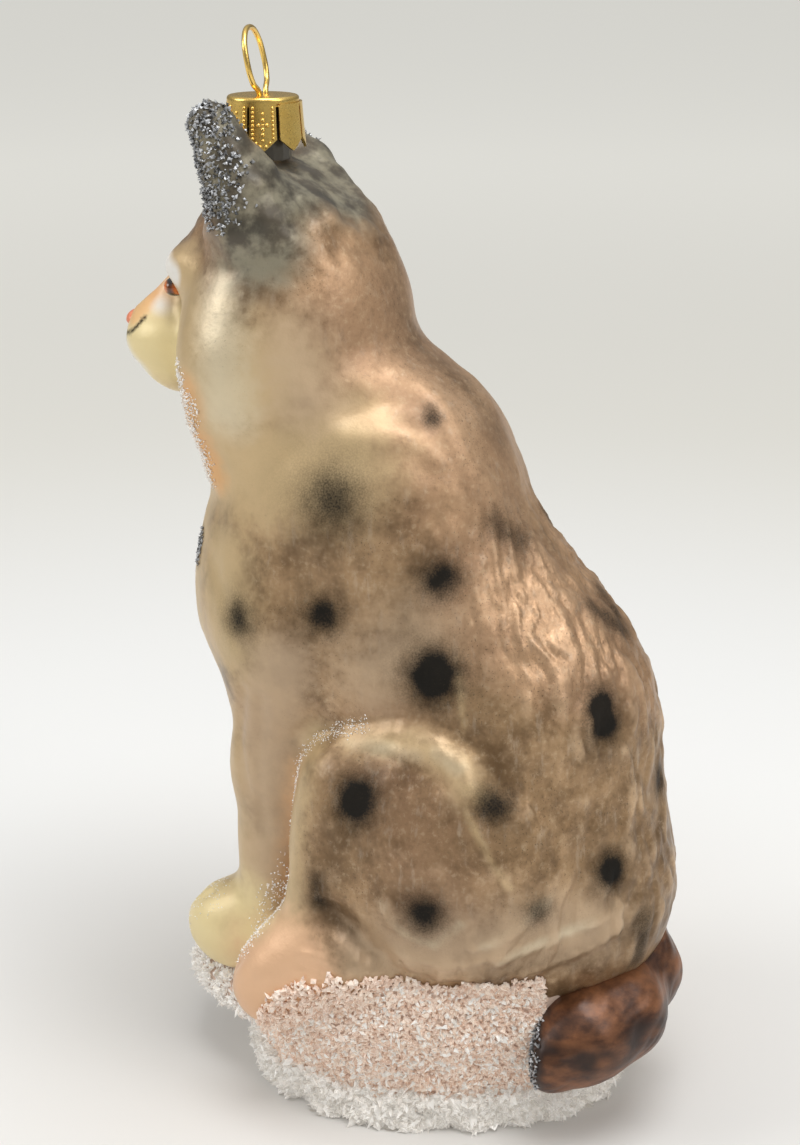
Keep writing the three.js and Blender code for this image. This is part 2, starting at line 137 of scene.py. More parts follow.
def read_points(thing):
    flat = np.empty(len(thing.data.vertices) * 3, np.float32)
    thing.data.vertices.foreach_get("co", flat)
    return flat.reshape(-1, 3).astype(float) / MM - DRAWING_SHIFT


def write_points(thing, points):
    flat = ((points + DRAWING_SHIFT) * MM).astype(np.float32).ravel()
    thing.data.vertices.foreach_set("co", flat)
    thing.data.update()


def write_mask(thing, name, values):
    """Stores one number of 0 to 1 at each point, for a material to read."""
    layer = thing.data.attributes.new(name, "FLOAT", "POINT")
    layer.data.foreach_set("value", np.clip(values, 0, 1).astype(np.float32))


def mesh_of(name, points, faces):
    mesh = bpy.data.meshes.new(name)
    mesh.from_pydata(((points + DRAWING_SHIFT) * MM).tolist(), [], faces)
    made = bpy.data.objects.new(name, mesh)
    bpy.context.scene.collection.objects.link(made)
    return made


def take_shape(thing):
    """The corners and faces of a small shape that is repeated, which is then removed."""
    corners = np.array([vertex.co[:] for vertex in thing.data.vertices])
    faces = [list(face.vertices) for face in thing.data.polygons]
    bpy.data.objects.remove(thing)
    return corners, faces


# Distances in millimetres, negative inside, that the glass is blown to


def ball_gap(points, centre, radii):
    offset = points - np.array(centre, float)
    radii = np.array(radii, float)
    scaled = np.linalg.norm(offset / radii, axis=1)
    slope = np.linalg.norm(offset / radii**2, axis=1) + 1e-9
    return scaled * (scaled - 1) / slope


def limb_gap(points, start, end, start_radius, end_radius):
    start = np.array(start, float)
    along = np.array(end, float) - start
    offset = points - start
    share = np.clip(offset @ along / (along @ along), 0, 1)
    reach = np.linalg.norm(offset - share[:, None] * along, axis=1)
    return reach - start_radius - share * (end_radius - start_radius)


def path_gap(points, path):
    nearest = np.full(len(points), 1e6)
    if len(path) == 1:
        return np.linalg.norm(points - np.array(path[0], float), axis=1)
    for start, end in zip(path[:-1], path[1:]):
        nearest = np.minimum(nearest, limb_gap(points, start, end, 0, 0))
    return nearest


def blend_two(a, b, blend):
    share = np.maximum(blend - np.abs(a - b), 0) / blend
    return np.minimum(a, b) - share * share * blend / 4


def blend_lumps(points, lumps, blend):
    total = None
    for kind, *sizes in lumps:
        if kind == "ball":
            gap = ball_gap(points, *sizes)
        else:
            gap = limb_gap(points, *sizes)
        total = gap if total is None else blend_two(total, gap, blend)
    return total


def fade(values, start, end):
    """Rises smoothly from 0 at start to 1 at end."""
    share = np.clip((values - start) / (end - start), 0, 1)
    return share * share * (3 - 2 * share)


def bell(gap, width):
    """Falls smoothly from 1 on a path to about a third at this width from it."""
    return np.exp(-((gap / width) ** 2))


def folded(points):
    """The points with the right half of the lynx laid over the left one."""
    left = points.copy()
    left[:, 0] = np.abs(points[:, 0])
    return left


# The lumps of the lynx. Those of a pair are written for the left side

SKULL = [
    ("ball", (0, -12.7, 94.4), (13.8, 12.4, 13.4)),
    ("limb", (0, -16.3, 100), (0, -16.3, 104.6), 7, 6),
]
CHEEKS = [
    ("ball", (8, -13.7, 87.4), (7.6, 9, 10)),
    ("limb", (9, -15.6, 88), (6.2, -17.6, 77.8), 5.9, 3.7),
]
FACE = [
    ("ball", (0, -27.7, 88.4), (5.4, 6.2, 4.6)),
    ("ball", (0, -26.9, 85.4), (3.6, 3.9, 3.2)),
    ("limb", (0, -21.8, 97.8), (0, -30.7, 90.6), 3.6, 2.2),
]
BROWS = [("ball", (4.8, -22.7, 98.2), (3.2, 3.7, 2.6))]
LEFT_EAR = [
    ("limb", (8.8, -14.4, 105), (10.5, -17.8, 115), 5, 2.4),
    ("limb", (6, -10.9, 102.5), (8.2, -13.5, 108.7), 4.7, 1.8),
]
RIGHT_EAR = [
    ("limb", (8.6, -15, 105), (9.4, -19.8, 112.6), 4.8, 2.3),
    ("limb", (6, -10.9, 102.5), (8.2, -13.5, 108.7), 4.7, 1.8),
]
EAR_HOLLOW = ((10.6, -23, 110), (2.8, 3.4, 5))
TORSO = [
    ("limb", (0, -10.9, 88.9), (0, -6.4, 73), 11.7, 14.5),
    ("ball", (0, -7.7, 60.1), (16.5, 17.1, 17.4)),
    ("ball", (0, -0.7, 74.2), (15, 14.2, 13.2)),
    ("ball", (0, 4.6, 61.1), (14, 13.9, 13.5)),
    ("ball", (0, 10.9, 45.5), (17, 20.5, 21.4)),
    ("ball", (0, 13.3, 27.4), (17.5, 20.7, 19.8)),
]
FORELEGS = [
    ("limb", (0, -7.5, 54), (0, -5.5, 18), 8, 5.5),
    ("limb", (8, -9.5, 58), (7.6, -12, 40), 8.9, 5.6),
    ("limb", (7.6, -12, 40), (7.6, -12.6, 20), 5.6, 5.1),
    ("ball", (8, -17.4, 18), (5.7, 7.1, 5.7)),
]
HAUNCHES = [
    ("ball", (13.5, 8.8, 33), (9.3, 15.6, 16.4)),
    ("limb", (16.5, 0, 22), (18.2, -9.2, 16.2), 7, 4.7),
    ("limb", (15.5, -2.2, 26.7), (18, -7.8, 19.1), 4.5, 4.5),
    ("limb", (14, -1.4, 41.5), (15.6, -2.2, 31), 5.6, 5.6),
]
TAIL = [
    ("limb", (-1.5, 22.6, 29), (-4, 27, 20.5), 3, 4.1),
    ("limb", (-4, 27, 20.5), (-2.8, 29.4, 14.6), 4.1, 4.7),
    ("limb", (-2.8, 29.4, 14.6), (6.7, 29.8, 13.9), 4.7, 4.8),
    ("limb", (6.7, 29.8, 13.9), (11.3, 26.9, 12.9), 4.8, 5),
    ("limb", (11.3, 26.9, 12.9), (14.6, 23.8, 11), 5, 3.9),
]
TAIL_TIP = (14.6, 23.8)
TAIL_END = (0.25, -0.968)
TAIL_END_REACH = 2.2
MOUND_CENTRE = (0, 5)
MOUND_RADII = (17.4, 21.5)
MOUND_TAPER = 0.14
MOUND_FLARE = 3.4
PAWS_SEAT_Z = 12
HAUNCHES_SEAT_Z = 21
MOUND_STEP = ((0, -13, 10.2), (13.6, 14, 3.2))


def skin_gap(points):
    left = folded(points)
    skull = blend_two(blend_lumps(points, SKULL, 4), blend_lumps(left, CHEEKS, 4), 4)
    face = blend_two(blend_lumps(points, FACE, 2), blend_lumps(left, BROWS, 2), 2)
    head = blend_two(skull, face, 3)
    for side, lumps in ((1, LEFT_EAR), (-1, RIGHT_EAR)):
        turned = points * np.array([side, 1, 1])
        ear = blend_lumps(turned, lumps, 3)
        ear = -blend_two(-ear, ball_gap(turned, *EAR_HOLLOW), 1.5)
        head = blend_two(head, ear, 3)
    body = blend_two(blend_lumps(points, TORSO, 7), head, 4)
    body = blend_two(body, blend_lumps(left, FORELEGS, 3), 3)
    return blend_two(body, blend_lumps(left, HAUNCHES, 3), 3)


def beyond_tip(points):
    """Distance past the last bend of the tail, along its run."""
    return (points[:, :2] - TAIL_TIP) @ np.array(TAIL_END)


def tail_gap(points):
    round_end = blend_lumps(points, TAIL, 3)
    return -blend_two(-round_end, TAIL_END_REACH - beyond_tip(points), 1.6)


def mound_gap(points):
    back = (points[:, 1] - MOUND_CENTRE[1]) / MOUND_RADII[1]
    width = MOUND_RADII[0] * (1 - MOUND_TAPER * back)
    wall = (np.hypot(points[:, 0] / width, back) - 1) * MOUND_RADII[0]
    wall -= MOUND_FLARE * fade(points[:, 2], 2, 15)
    seat = PAWS_SEAT_Z + (HAUNCHES_SEAT_Z - PAWS_SEAT_Z) * fade(points[:, 1], -14, -1)
    pedestal = -blend_two(-wall, seat - points[:, 2], 3)
    step = ball_gap(points, *MOUND_STEP)
    return np.maximum(blend_two(pedestal, step, 2), -points[:, 2])


def slope_of(gap, points, reach=0.05):
    """The distance at each point, and the direction in which it grows."""
    here = gap(points)
    slope = np.empty_like(points)
    for axis in range(3):
        moved = points.copy()
        moved[:, axis] += reach
        slope[:, axis] = (gap(moved) - here) / reach
    slope /= np.linalg.norm(slope, axis=1, keepdims=True) + 1e-9
    return here, slope


def neighbour_average(thing, points, share):
    """Moves each point this share of the way to the middle of its neighbours."""
    count = len(thing.data.edges) * 2
    ends = np.empty(count, np.int32)
    thing.data.edges.foreach_get("vertices", ends)
    first, second = ends.reshape(-1, 2).T
    total = np.zeros_like(points)
    weight = np.zeros(len(points))
    for axis in range(3):
        total[:, axis] += np.bincount(first, points[second, axis], len(points))
        total[:, axis] += np.bincount(second, points[first, axis], len(points))
    weight += np.bincount(first, minlength=len(points))
    weight += np.bincount(second, minlength=len(points))
    return points + share * (total / np.maximum(weight, 1)[:, None] - points)


LONGEST_MOVE = 0.9


def blow_to(thing, gap, rounds):
    """Moves a piece's points onto the shape where gap is 0. The last two rounds don't smooth."""
    points = read_points(thing)
    for turn in range(rounds):
        if turn < rounds - 2:
            points = neighbour_average(thing, points, 0.5)
        here, slope = slope_of(gap, points)
        points -= slope * np.clip(here, -LONGEST_MOVE, LONGEST_MOVE)[:, None]
    here, slope = slope_of(gap, points)
    return points, slope


def add_lumps(lumps, sides=(1,)):
    made = []
    for kind, *sizes in lumps:
        for side in sides:
            if kind == "ball":
                (x, y, z), radii = sizes
                made.append(add_ball((side * x, y, z), radii))
            else:
                (x, y, z), (u, v, w), start_radius, end_radius = sizes
                made.append(add_limb((side * x, y, z), (side * u, v, w), start_radius, end_radius))
    return made


def noise_at(points, period, seed):
    scaled = points / np.array(period, float) + seed
    return np.array([noise.noise(Vector(p)) for p in scaled.tolist()])


def strands(combed, period, seed, level):
    """Fur lines: narrow valleys where the noise crosses zero, with ridges between them."""
    return np.abs(noise_at(combed, period, seed)) * 2 - level


# Glass skin: body, head, ears, legs and paws as one blown piece

PAIR = (1, -1)
skin = join_pieces(
    *add_lumps(SKULL + FACE + TORSO),
    *add_lumps(CHEEKS + BROWS + FORELEGS + HAUNCHES, PAIR),
    *add_lumps(LEFT_EAR),
    *add_lumps(RIGHT_EAR, (-1,)),
)
apply_modifier(skin, "REMESH", mode="VOXEL", voxel_size=0.46 * MM)
name_piece(skin, "glass_skin")
points, outward = blow_to(skin, skin_gap, 9)

# Ridges and grooves pressed by the mould: path, half width and height in millimetres
RIDGES = [
    ([(16.7, -6.4, 31), (19.3, -3.4, 29.4), (21.1, -0.5, 28.6), (21.8, 2.2, 27), (22, 4.6, 24.6)],
     1.7, -1.1),
    ([(13.2, -4.7, 85.1), (11.3, -2.3, 87.4), (8.8, 0.3, 88.6), (6.6, 3, 88.2), (4.9, 6.5, 86.2),
      (4.2, 9.8, 83.4)], 2.3, 0.32),
    ([(12.3, -1.1, 84.7), (10.3, 2, 85.6), (8.5, 5.4, 84.9)], 2.2, -0.42),
    ([(13.8, -2.9, 82.7), (13.5, 0.9, 81.9), (11.7, 4.9, 82), (10.5, 7.5, 81), (10.1, 9.5, 78.8),
      (10.7, 9.9, 76.5)], 2.0, 0.28),
    ([(14.8, -0.4, 79.8), (13.2, 3.1, 81.1), (12, 6.1, 80.5), (11.4, 8.8, 77.7), (11.6, 9.5, 74.5)],
     2.0, -0.3),
    ([(6.3, 7, 85.1), (6.8, 9.5, 82.3), (7, 11.9, 78), (5, 13.7, 73.6), (3.4, 17.6, 68.2),
      (3.6, 22.4, 64.3), (3, 25.6, 61.1)], 1.8, 0.32),
    ([(14.8, -11.2, 70.9), (16.4, -5.8, 68.5), (15.9, -1.9, 64.1)], 2.6, -0.3),
    ([(15.5, -6, 77.4), (16.6, -4.4, 73.3), (16.6, -3.5, 68.8)], 1.2, 0.12),
    ([(16.3, -2.3, 59.5), (15.6, -1.7, 53.4), (14.4, -3.2, 49.1)], 1.4, 0.16),
    ([(15.4, 5, 63.6), (15.9, 5.8, 58), (16.2, 4.9, 53.3)], 1.2, 0.12),
    ([(12.2, -18.5, 65.8), (14.9, -15.7, 62.2), (16.3, -13.9, 58)], 1.4, -0.2),
    ([(14.8, -13.5, 51.5), (12.7, -15.5, 44.2), (13.6, -14.2, 38.4)], 0.9, -0.35),
    ([(15.4, -11.2, 50.8), (14.2, -12.4, 42.7), (13.2, -12.5, 33.3)], 0.9, -0.3),
    ([(14.2, -2.7, 46), (16.3, 2.4, 48.4), (17.3, 7.5, 49.1), (17.7, 11.7, 48.3), (18.2, 14.8, 46.2)],
     2.1, 0.32),
    ([(14.2, -2.7, 47.6), (15.8, 2.2, 50.7), (16.5, 7.2, 51.9), (16.8, 11.4, 51.6), (17.1, 15, 49.4)],
     1.2, -0.4),
    ([(17.6, 11.1, 48.5), (17.9, 13.8, 47.1), (18.8, 15, 45)], 0.7, 0.18),
    ([(14.6, -3.4, 44.6), (16.4, 0.6, 46.6), (17.9, 5.6, 47), (18.6, 9.6, 46.2)], 0.6, -0.16),
    ([(15.2, -1.4, 48.6), (16.8, 3, 49.8), (17.4, 7.6, 50), (17.4, 11.6, 49.4)], 0.5, 0.16),
    ([(21, -0.8, 28.7), (22.4, 2.4, 25.5), (21.4, 6, 22.8), (19.5, 11.9, 20.9), (16.6, 18.1, 20.6),
      (13.6, 24.3, 22.6), (9.6, 30.2, 25.4)], 1.1, -0.3),
    ([(18.9, 18.8, 24.7), (16.6, 22.8, 26.4), (12.8, 27.5, 27.8), (9.5, 30.6, 29.3)], 0.7, 0.3),
    ([(16.1, 20.9, 21.8), (13.8, 25.5, 23.9), (10.2, 30.1, 26.1), (7.5, 31.9, 29.2)], 0.7, 0.25),
    ([(21, 15.9, 26.7), (19.4, 20.1, 28.5), (17.1, 23.4, 31.7), (15.9, 24.2, 34.3)], 0.6, 0.25),
    ([(22.6, 5.6, 31.8), (22.4, 7.9, 28.4), (21.9, 12.2, 26.8), (21.8, 15.2, 30.1),
      (21.7, 16.1, 33.8)], 0.55, 0.22),
    ([(22.3, 8.1, 38.2), (22.6, 10, 36.2), (22.2, 12.8, 36.8)], 0.5, 0.18),
    ([(22.5, 5.2, 34.2), (22.7, 7.3, 31.6), (22.4, 7, 28.9)], 0.5, 0.18),
    ([(21.6, 7.8, 24.8), (20.8, 13.5, 24.1), (19.3, 18.9, 25.7)], 0.6, 0.25),
    ([(22.1, -3.5, 24.3), (22.8, -1.4, 24.4), (23.2, 0.6, 24)], 0.6, -0.25),
    ([(22.8, -3.8, 22.1), (23.3, -0.6, 22)], 0.6, -0.2),
    ([(14, -19.7, 84.9), (11.4, -20.3, 80.8), (10.6, -19.6, 78.1), (10.1, -18.8, 75.3)], 1.6, 0.4),
]
SEAM = [(12.3, 10.2, 63.7), (15.9, 12.9, 54.4), (16.6, 13.4, 50.9), (18.3, 14.3, 46.2),
        (20, 15.1, 42.7), (20.5, 17, 39.6), (20.5, 18.3, 37.3), (19.9, 20.1, 34.5)]

SEAM_HALF_WIDTH = 0.35
SEAM_HEIGHT = 0.12

left = folded(points)
relief = np.zeros(len(points))
for path, width, height in RIDGES:
    relief += height * bell(path_gap(left, path), width)
relief += SEAM_HEIGHT * bell(path_gap(left, SEAM), SEAM_HALF_WIDTH)

# Combed fur: lines that run down the back and flank, with waves across them
FUR_HEIGHT = 0.44
COMB_AXIS_Y = 2
COMB_RADIUS = 15
around = np.arctan2(points[:, 0], points[:, 1] - COMB_AXIS_Y) * COMB_RADIUS
combed = np.stack([around, points[:, 2] * 0.35 - points[:, 1] * 0.25, np.zeros(len(points))], 1)
combed[:, 0] += noise_at(points, (5, 5, 7), 3.1) * 1.5
lines = strands(combed, (1.1, 2.4, 1), 7.7, 0.45) + 0.5 * strands(combed, (0.7, 1.1, 1), 2.9, 0.45)
upper_back = bell(path_gap(left, [(8, 20, 66), (6, 26, 56)]), 9)
spine = fade(points[:, 1], 16, 28) * fade(points[:, 2], 20, 30)
low_flank = bell(path_gap(left, [(20, 6, 24), (17, 18, 24), (9, 29, 27)]), 6)
flank = fade(points[:, 1], -4, 8) * (1 - fade(points[:, 2], 66, 80)) * 0.25
fur = np.clip(upper_back * 0.9 + spine * 0.5 + flank + low_flank * 0.4, 0, 1)
relief += lines * fur * FUR_HEIGHT

# Hand-made unevenness: slow waves, dimples low on the side, lumps on the crown
wobble = noise_at(points, (5.5, 5.5, 5.5), 1.3)
dimples = noise_at(points, (2.2, 2.2, 3), 6.4)
low_side = (1 - fade(points[:, 2], 44, 60)) * fade(points[:, 1], -8, 2)
relief += wobble * 0.14 + dimples * (0.05 + low_side * 0.13)
crown = fade(points[:, 2], 97, 104)
lumps = noise_at(points, (3.2, 3.2, 3.6), 5.9) + 0.4 * noise_at(points, (1.4, 1.4, 1.6), 4.2)
relief += lumps * (0.06 + crown * 0.4)
CROWN_BUMPS = [((11.3, -11.7, 108.7), 0.9), ((-6, -11, 109.4), 1.4), ((3.7, -10.4, 108.8), 1.2)]
for bump, size in CROWN_BUMPS:
    relief += 0.3 * bell(path_gap(points, [bump]), size)

# Face: sockets round the eyes, a slit for the mouth, dips between the toes
eye_gap = ball_gap(left, (3.9, -26.7, 95.4), (2.1, 1.4, 1.5))
relief -= 0.7 * bell(np.maximum(eye_gap, 0), 0.8)
MOUTH = [(0, -33.4, 88.6), (1.2, -32.9, 88.2), (3, -31.2, 87.9), (4.6, -29, 88.6)]
LIP_CLEFT = [(0, -33.8, 90), (0, -33.6, 88.4)]
relief -= 0.45 * bell(path_gap(left, MOUTH), 0.4)
relief -= 0.4 * bell(path_gap(left, LIP_CLEFT), 0.35)
TOE_DIP_HALF_WIDTH = 0.7
for toe in (6.2, 8.3, 10.4):
    groove = [(toe, -26, 18.5), (toe, -24.4, 20.5), (toe * 0.98, -21, 22.6)]
    relief -= 0.5 * bell(path_gap(left, groove), TOE_DIP_HALF_WIDTH)
for toe in (16.4, 18.4, 20.4):
    groove = [(toe, -14.6, 16.5), (toe, -13, 19), (toe, -10.5, 20.6)]
    relief -= 0.35 * bell(path_gap(left, groove), TOE_DIP_HALF_WIDTH)
points += outward * relief[:, None]
write_points(skin, points)
shade(skin)

# Airbrushed colours, with painted shade and painted highlights among them, as soft patches
# along paths: path, solid radius, fading radius. A spot also has its strength

SPOTS = [
    ([(8.2, 6.7, 84.1)], 0.4, 2.0, 0.8),
    ([(16.1, -2, 75.7)], 0.6, 5.4, 0.8),
    ([(12.1, 8.9, 66.7)], 1.3, 3.0, 1.0),
    ([(6.3, 13.2, 71.6), (4.6, 15.4, 69.2)], 0.6, 2.9, 0.75),
    ([(16.1, -13.4, 60.6)], 0.7, 2.9, 0.85),
    ([(16.1, -3.3, 62.4)], 0.8, 3.2, 0.9),
    ([(15.3, 9.6, 56.5)], 1.8, 3.9, 1.0),
    ([(8.9, 27.2, 52.8), (8.9, 27.4, 50.8)], 1.3, 2.7, 1.0),
    ([(20.1, 2.3, 42.8), (20.1, 2.3, 41.9)], 1.6, 3.2, 0.95),
    ([(18.5, 17.7, 43.4)], 0.9, 2.8, 0.85),
    ([(10.5, 29.2, 33.9)], 1.1, 2.7, 1.0),
    ([(20.1, -2, 32.2), (20.1, -2, 30.2)], 0.7, 1.9, 0.85),
    ([(22.6, 11, 31.1)], 1.1, 3.0, 0.9),
    ([(17.8, 22.7, 31)], 0.4, 2.3, 0.7),
    ([(6.7, 31.7, 27), (6.5, 31.7, 21)], 0.5, 2.2, 0.7),
    ([(0, 32.5, 41)], 0.7, 2.6, 0.8),
    ([(2.4, 24.4, 62.5), (0.5, 27, 59)], 0.4, 2.6, 0.75),
]
PATCHES = {
    # A pink tone on the back of the head and neck; the last two paths are a painted sheen, a highlight
    # on the upper back
    "pink_and_sheen": [
        ([(8, 0, 96), (9, 2, 90), (8, 5, 82), (6, 12, 76)], 3, 14),
        ([(8, 13, 72), (7, 17, 67), (6, 21, 63), (4, 25, 60), (0, 29, 55)], 4, 10),
        ([(12, 12, 64), (12, 16, 60), (11, 20, 58), (8, 26, 55)], 2, 7),
    ],
    "cream_and_highlight": [
        ([(0, -28, 88), (3, -26, 92), (6, -22, 90), (10, -21, 88)], 5, 11),
        ([(13.6, -12, 88), (12, -19.4, 86), (11, -16, 77), (13.5, -10, 78), (14.6, -2, 80)], 2, 11),
        ([(8, -23, 97), (11.5, -20.5, 92), (12.5, -20, 85)], 2, 6.5),
        ([(13, -16.5, 66.3), (15, -15.4, 57.4)], 1, 9),
        ([(8, -24, 18), (8, -18, 18)], 6, 12),
        ([(0, -24, 70), (0, -22, 55), (2, -18, 40), (2, -16, 20)], 8, 15),
        ([(9, -20, 28), (8, -18, 40)], 2, 8),
        # A painted highlight: a light band along the top of the haunch
        ([(14.8, -2.1, 45.5), (15.8, 0.3, 47.4), (17.2, 5.1, 48.4), (17.6, 9.3, 48.7),
          (17.9, 13.8, 47.1), (18.8, 15, 45)], -1.2, 3.6),
        (SEAM, -0.5, 0.9),
        ([(14.5, -4.4, 45), (17.5, -6.6, 38), (18.5, -6.8, 32), (19, -6, 26)], 0.5, 5.5),
    ],
    # Painted highlight: a pale band down the cheek and thin light lines along the ridges of the haunch
    # and low flank
    "painted_highlight": [
        ([(15.4, -1.4, 46.4), (17.2, 4, 47.8), (17.9, 8.6, 47.6)], -0.9, 1.5),
        ([(17.6, 11.1, 48.3), (18, 13.6, 47)], -0.6, 1.6),
        ([(20.9, 17.5, 27), (19, 20, 29), (17, 23.4, 32)], -0.8, 1.2),
        ([(22.4, 6, 31.5), (22.2, 8.4, 28.4), (21.9, 12, 27), (21.8, 15, 30)], -0.9, 1.1),
        ([(18.9, 18.8, 25), (16.6, 22.8, 26.7), (12.8, 27.5, 28)], -0.7, 1.3),
        ([(13.3, -16, 97.4), (15, -15.8, 93.3), (16.3, -15, 88.5), (15.4, -14.7, 84.3)], 0, 5.5),
    ],
    "dusty": [
        ([(0, -24, 101), (8, -20.7, 101), (12, -17, 100.5)], 1, 7),
        ([(15, 4, 47), (19, 9, 40), (20, 12, 32)], 0, 10),
    ],
    "yellow": [
        ([(8, -26, 18), (10, -20, 18)], 3, 9),
        ([(0, -32, 86), (3, -30, 88), (7, -24, 88)], 2, 8),
        ([(14.4, -14.4, 20), (16.5, -9.5, 23)], 0, 5),
        ([(11, -15, 22)], 0, 7),
    ],
    "peach": [
        ([(22.7, -9.2, 17.7), (21.5, -5.5, 21), (15, -12.6, 16)], 3.5, 9),
        ([(0, -29, 95), (2, -29, 93.4)], 0.5, 3.5),
    ],
    "pale": [
        ([(16.5, -8, 56), (14.9, -10.6, 48.5), (13.5, -11.7, 37.7), (12.2, -10.4, 26)], 1, 7),
        ([(12, -8, 92), (13, -6, 86)], 0, 7),
        ([(22, 4, 24), (21, 13, 27), (19, 19, 28), (12, 28, 27)], 0, 8),
        ([(16, 2, 56), (16, 8, 62)], -2, 8),
    ],
    "orange": [
        ([(14.2, -19.4, 86), (12.2, -19.6, 82), (11.4, -19.2, 78.6), (11, -18.2, 75.5)], 0.2, 3.4),
        ([(13.4, -6.5, 42), (12.4, -8, 32), (12, -9, 25)], -1, 4),
        ([(0, -33.5, 91.2), (2.6, -31.6, 91.6), (1.6, -30, 93.6)], 0.4, 2.2),
    ],
    "grey": [
        ([(12, -17.5, 115.4), (12.9, -15.6, 110.8), (12.8, -12.4, 107.2), (12.6, -11.6, 103)], 3, 8),
        ([(11.6, -11.6, 108.2), (3.7, -10.4, 108.8), (0, -7.6, 107)], 3, 8.5),
        ([(4, -18, 112), (0, -20, 108)], 3, 8),
    ],
    # Painted shade: darker in the creases and grooves, below the back of the skull and by the crown
    # lumps
    "painted_shade": [
        ([(12.3, -1.1, 84.7), (10.3, 2, 85.6), (8.5, 5.4, 84.9)], 0.2, 4),
        ([(17, -6.4, 30), (19.3, -3.6, 28.8), (21.1, -0.7, 27.8), (21.8, 2, 26)], -0.2, 2.4),
        ([(11.3, -11.7, 106.9)], 0.1, 1.6),
        ([(13.2, -11.8, 103.9)], 0.2, 2.4),
        ([(12.6, -12.6, 110.4)], 0.2, 1.8),
        ([(0, 3, 92), (6, 2, 92), (11, -1, 92)], 0, 9),
        ([(13.6, -4.6, 47.4), (12.7, -7.2, 42.2), (12.6, -8, 37.7), (11.7, -8.3, 31.4)], 0, 2),
        ([(22.4, -2.8, 24.3), (22.9, -0.6, 23.2), (22.6, -3.4, 22.4)], -0.4, 1.8),
        ([(20, 6, 27), (18, 17, 24), (14, 25, 24)], 0, 3),
    ],
    "white": [
        ([(2.6, -28, 98.7), (5.4, -26, 99), (7.6, -24, 97.6)], 0.9, 1.8),
        ([(3, -28.6, 93), (6, -26.4, 93.2)], 0, 1.6),
        ([(0, -33.4, 87.2), (2.6, -32.6, 87), (3, -31.4, 85.6)], 0.5, 2.2),
    ],
    "black": [
        ([(0.8, -34, 89), (2.6, -33, 89.2), (3.8, -31.7, 89.8), (3.9, -31.1, 90.4), (3.7, -30.6, 91),
          (3.6, -30.2, 91.5)], 0.12, 0.42),
        ([(0, -34.1, 88.6), (1.4, -33.4, 87.4), (3, -31.8, 86.6)], 0.1, 0.4),
        ([(8.2, -22.2, 67.4), (7.9, -21.9, 64.6)], -0.2, 1.9),
    ],
}

left = folded(points)
spots = np.zeros(len(points))
ragged = noise_at(points, (1.6, 1.6, 1.6), 8.3) * 0.5
for path, solid, soft, strength in SPOTS:
    gap = np.maximum(path_gap(left, path) - solid * 0.6 + ragged, 0)
    core = bell(gap, soft * 0.62)
    halo = bell(gap, soft * 1.25)
    spots = np.maximum(spots, strength * (0.68 * core + 0.32 * halo))
write_mask(skin, "spots", spots)
for tone, patches in PATCHES.items():
    mask = np.zeros(len(points))
    for path, solid, soft in patches:
        share = (path_gap(left, path) - solid) / (soft - solid)
        mask = np.maximum(mask, 1 - np.clip(share, 0, 1))
    write_mask(skin, tone, mask)
# The material sees heights of up to half a millimetre either way
write_mask(skin, "relief", 0.5 + relief)
write_mask(skin, "fur", fur)
eye_rim = ball_gap(left, (3.8, -26.4, 95.4), (1.8, 1.2, 1.3))
write_mask(skin, "eye_rim", 1 - fade(eye_rim, 0.1, 0.4))


# Shader helpers


class Value:
    """One number of a material, on which sums are written as usual."""

    def __init__(self, finish, socket):
        self.finish = finish
        self.socket = socket

    def math(self, operation, *others, clamp=False):
        made = self.finish.node(
            "ShaderNodeMath", {"operation": operation, "use_clamp": clamp},
            dict(enumerate([self, *others])),
        )
        return Value(self.finish, made.outputs[0])

    def __add__(self, other):
        return self.math("ADD", other)

    __radd__ = __add__

    def __mul__(self, other):
        return self.math("MULTIPLY", other)

    __rmul__ = __mul__

    def __sub__(self, other):
        return self.math("SUBTRACT", other)

    def __rsub__(self, other):
        return (self * -1) + other

    def fade(self, start, end):
        made = self.finish.node(
            "ShaderNodeMapRange", {"interpolation_type": "SMOOTHSTEP"},
            {"Value": self, "From Min": start, "From Max": end},
        )
        return Value(self.finish, made.outputs["Result"])

    def clamped(self):
        return self.math("ADD", 0.0, clamp=True)


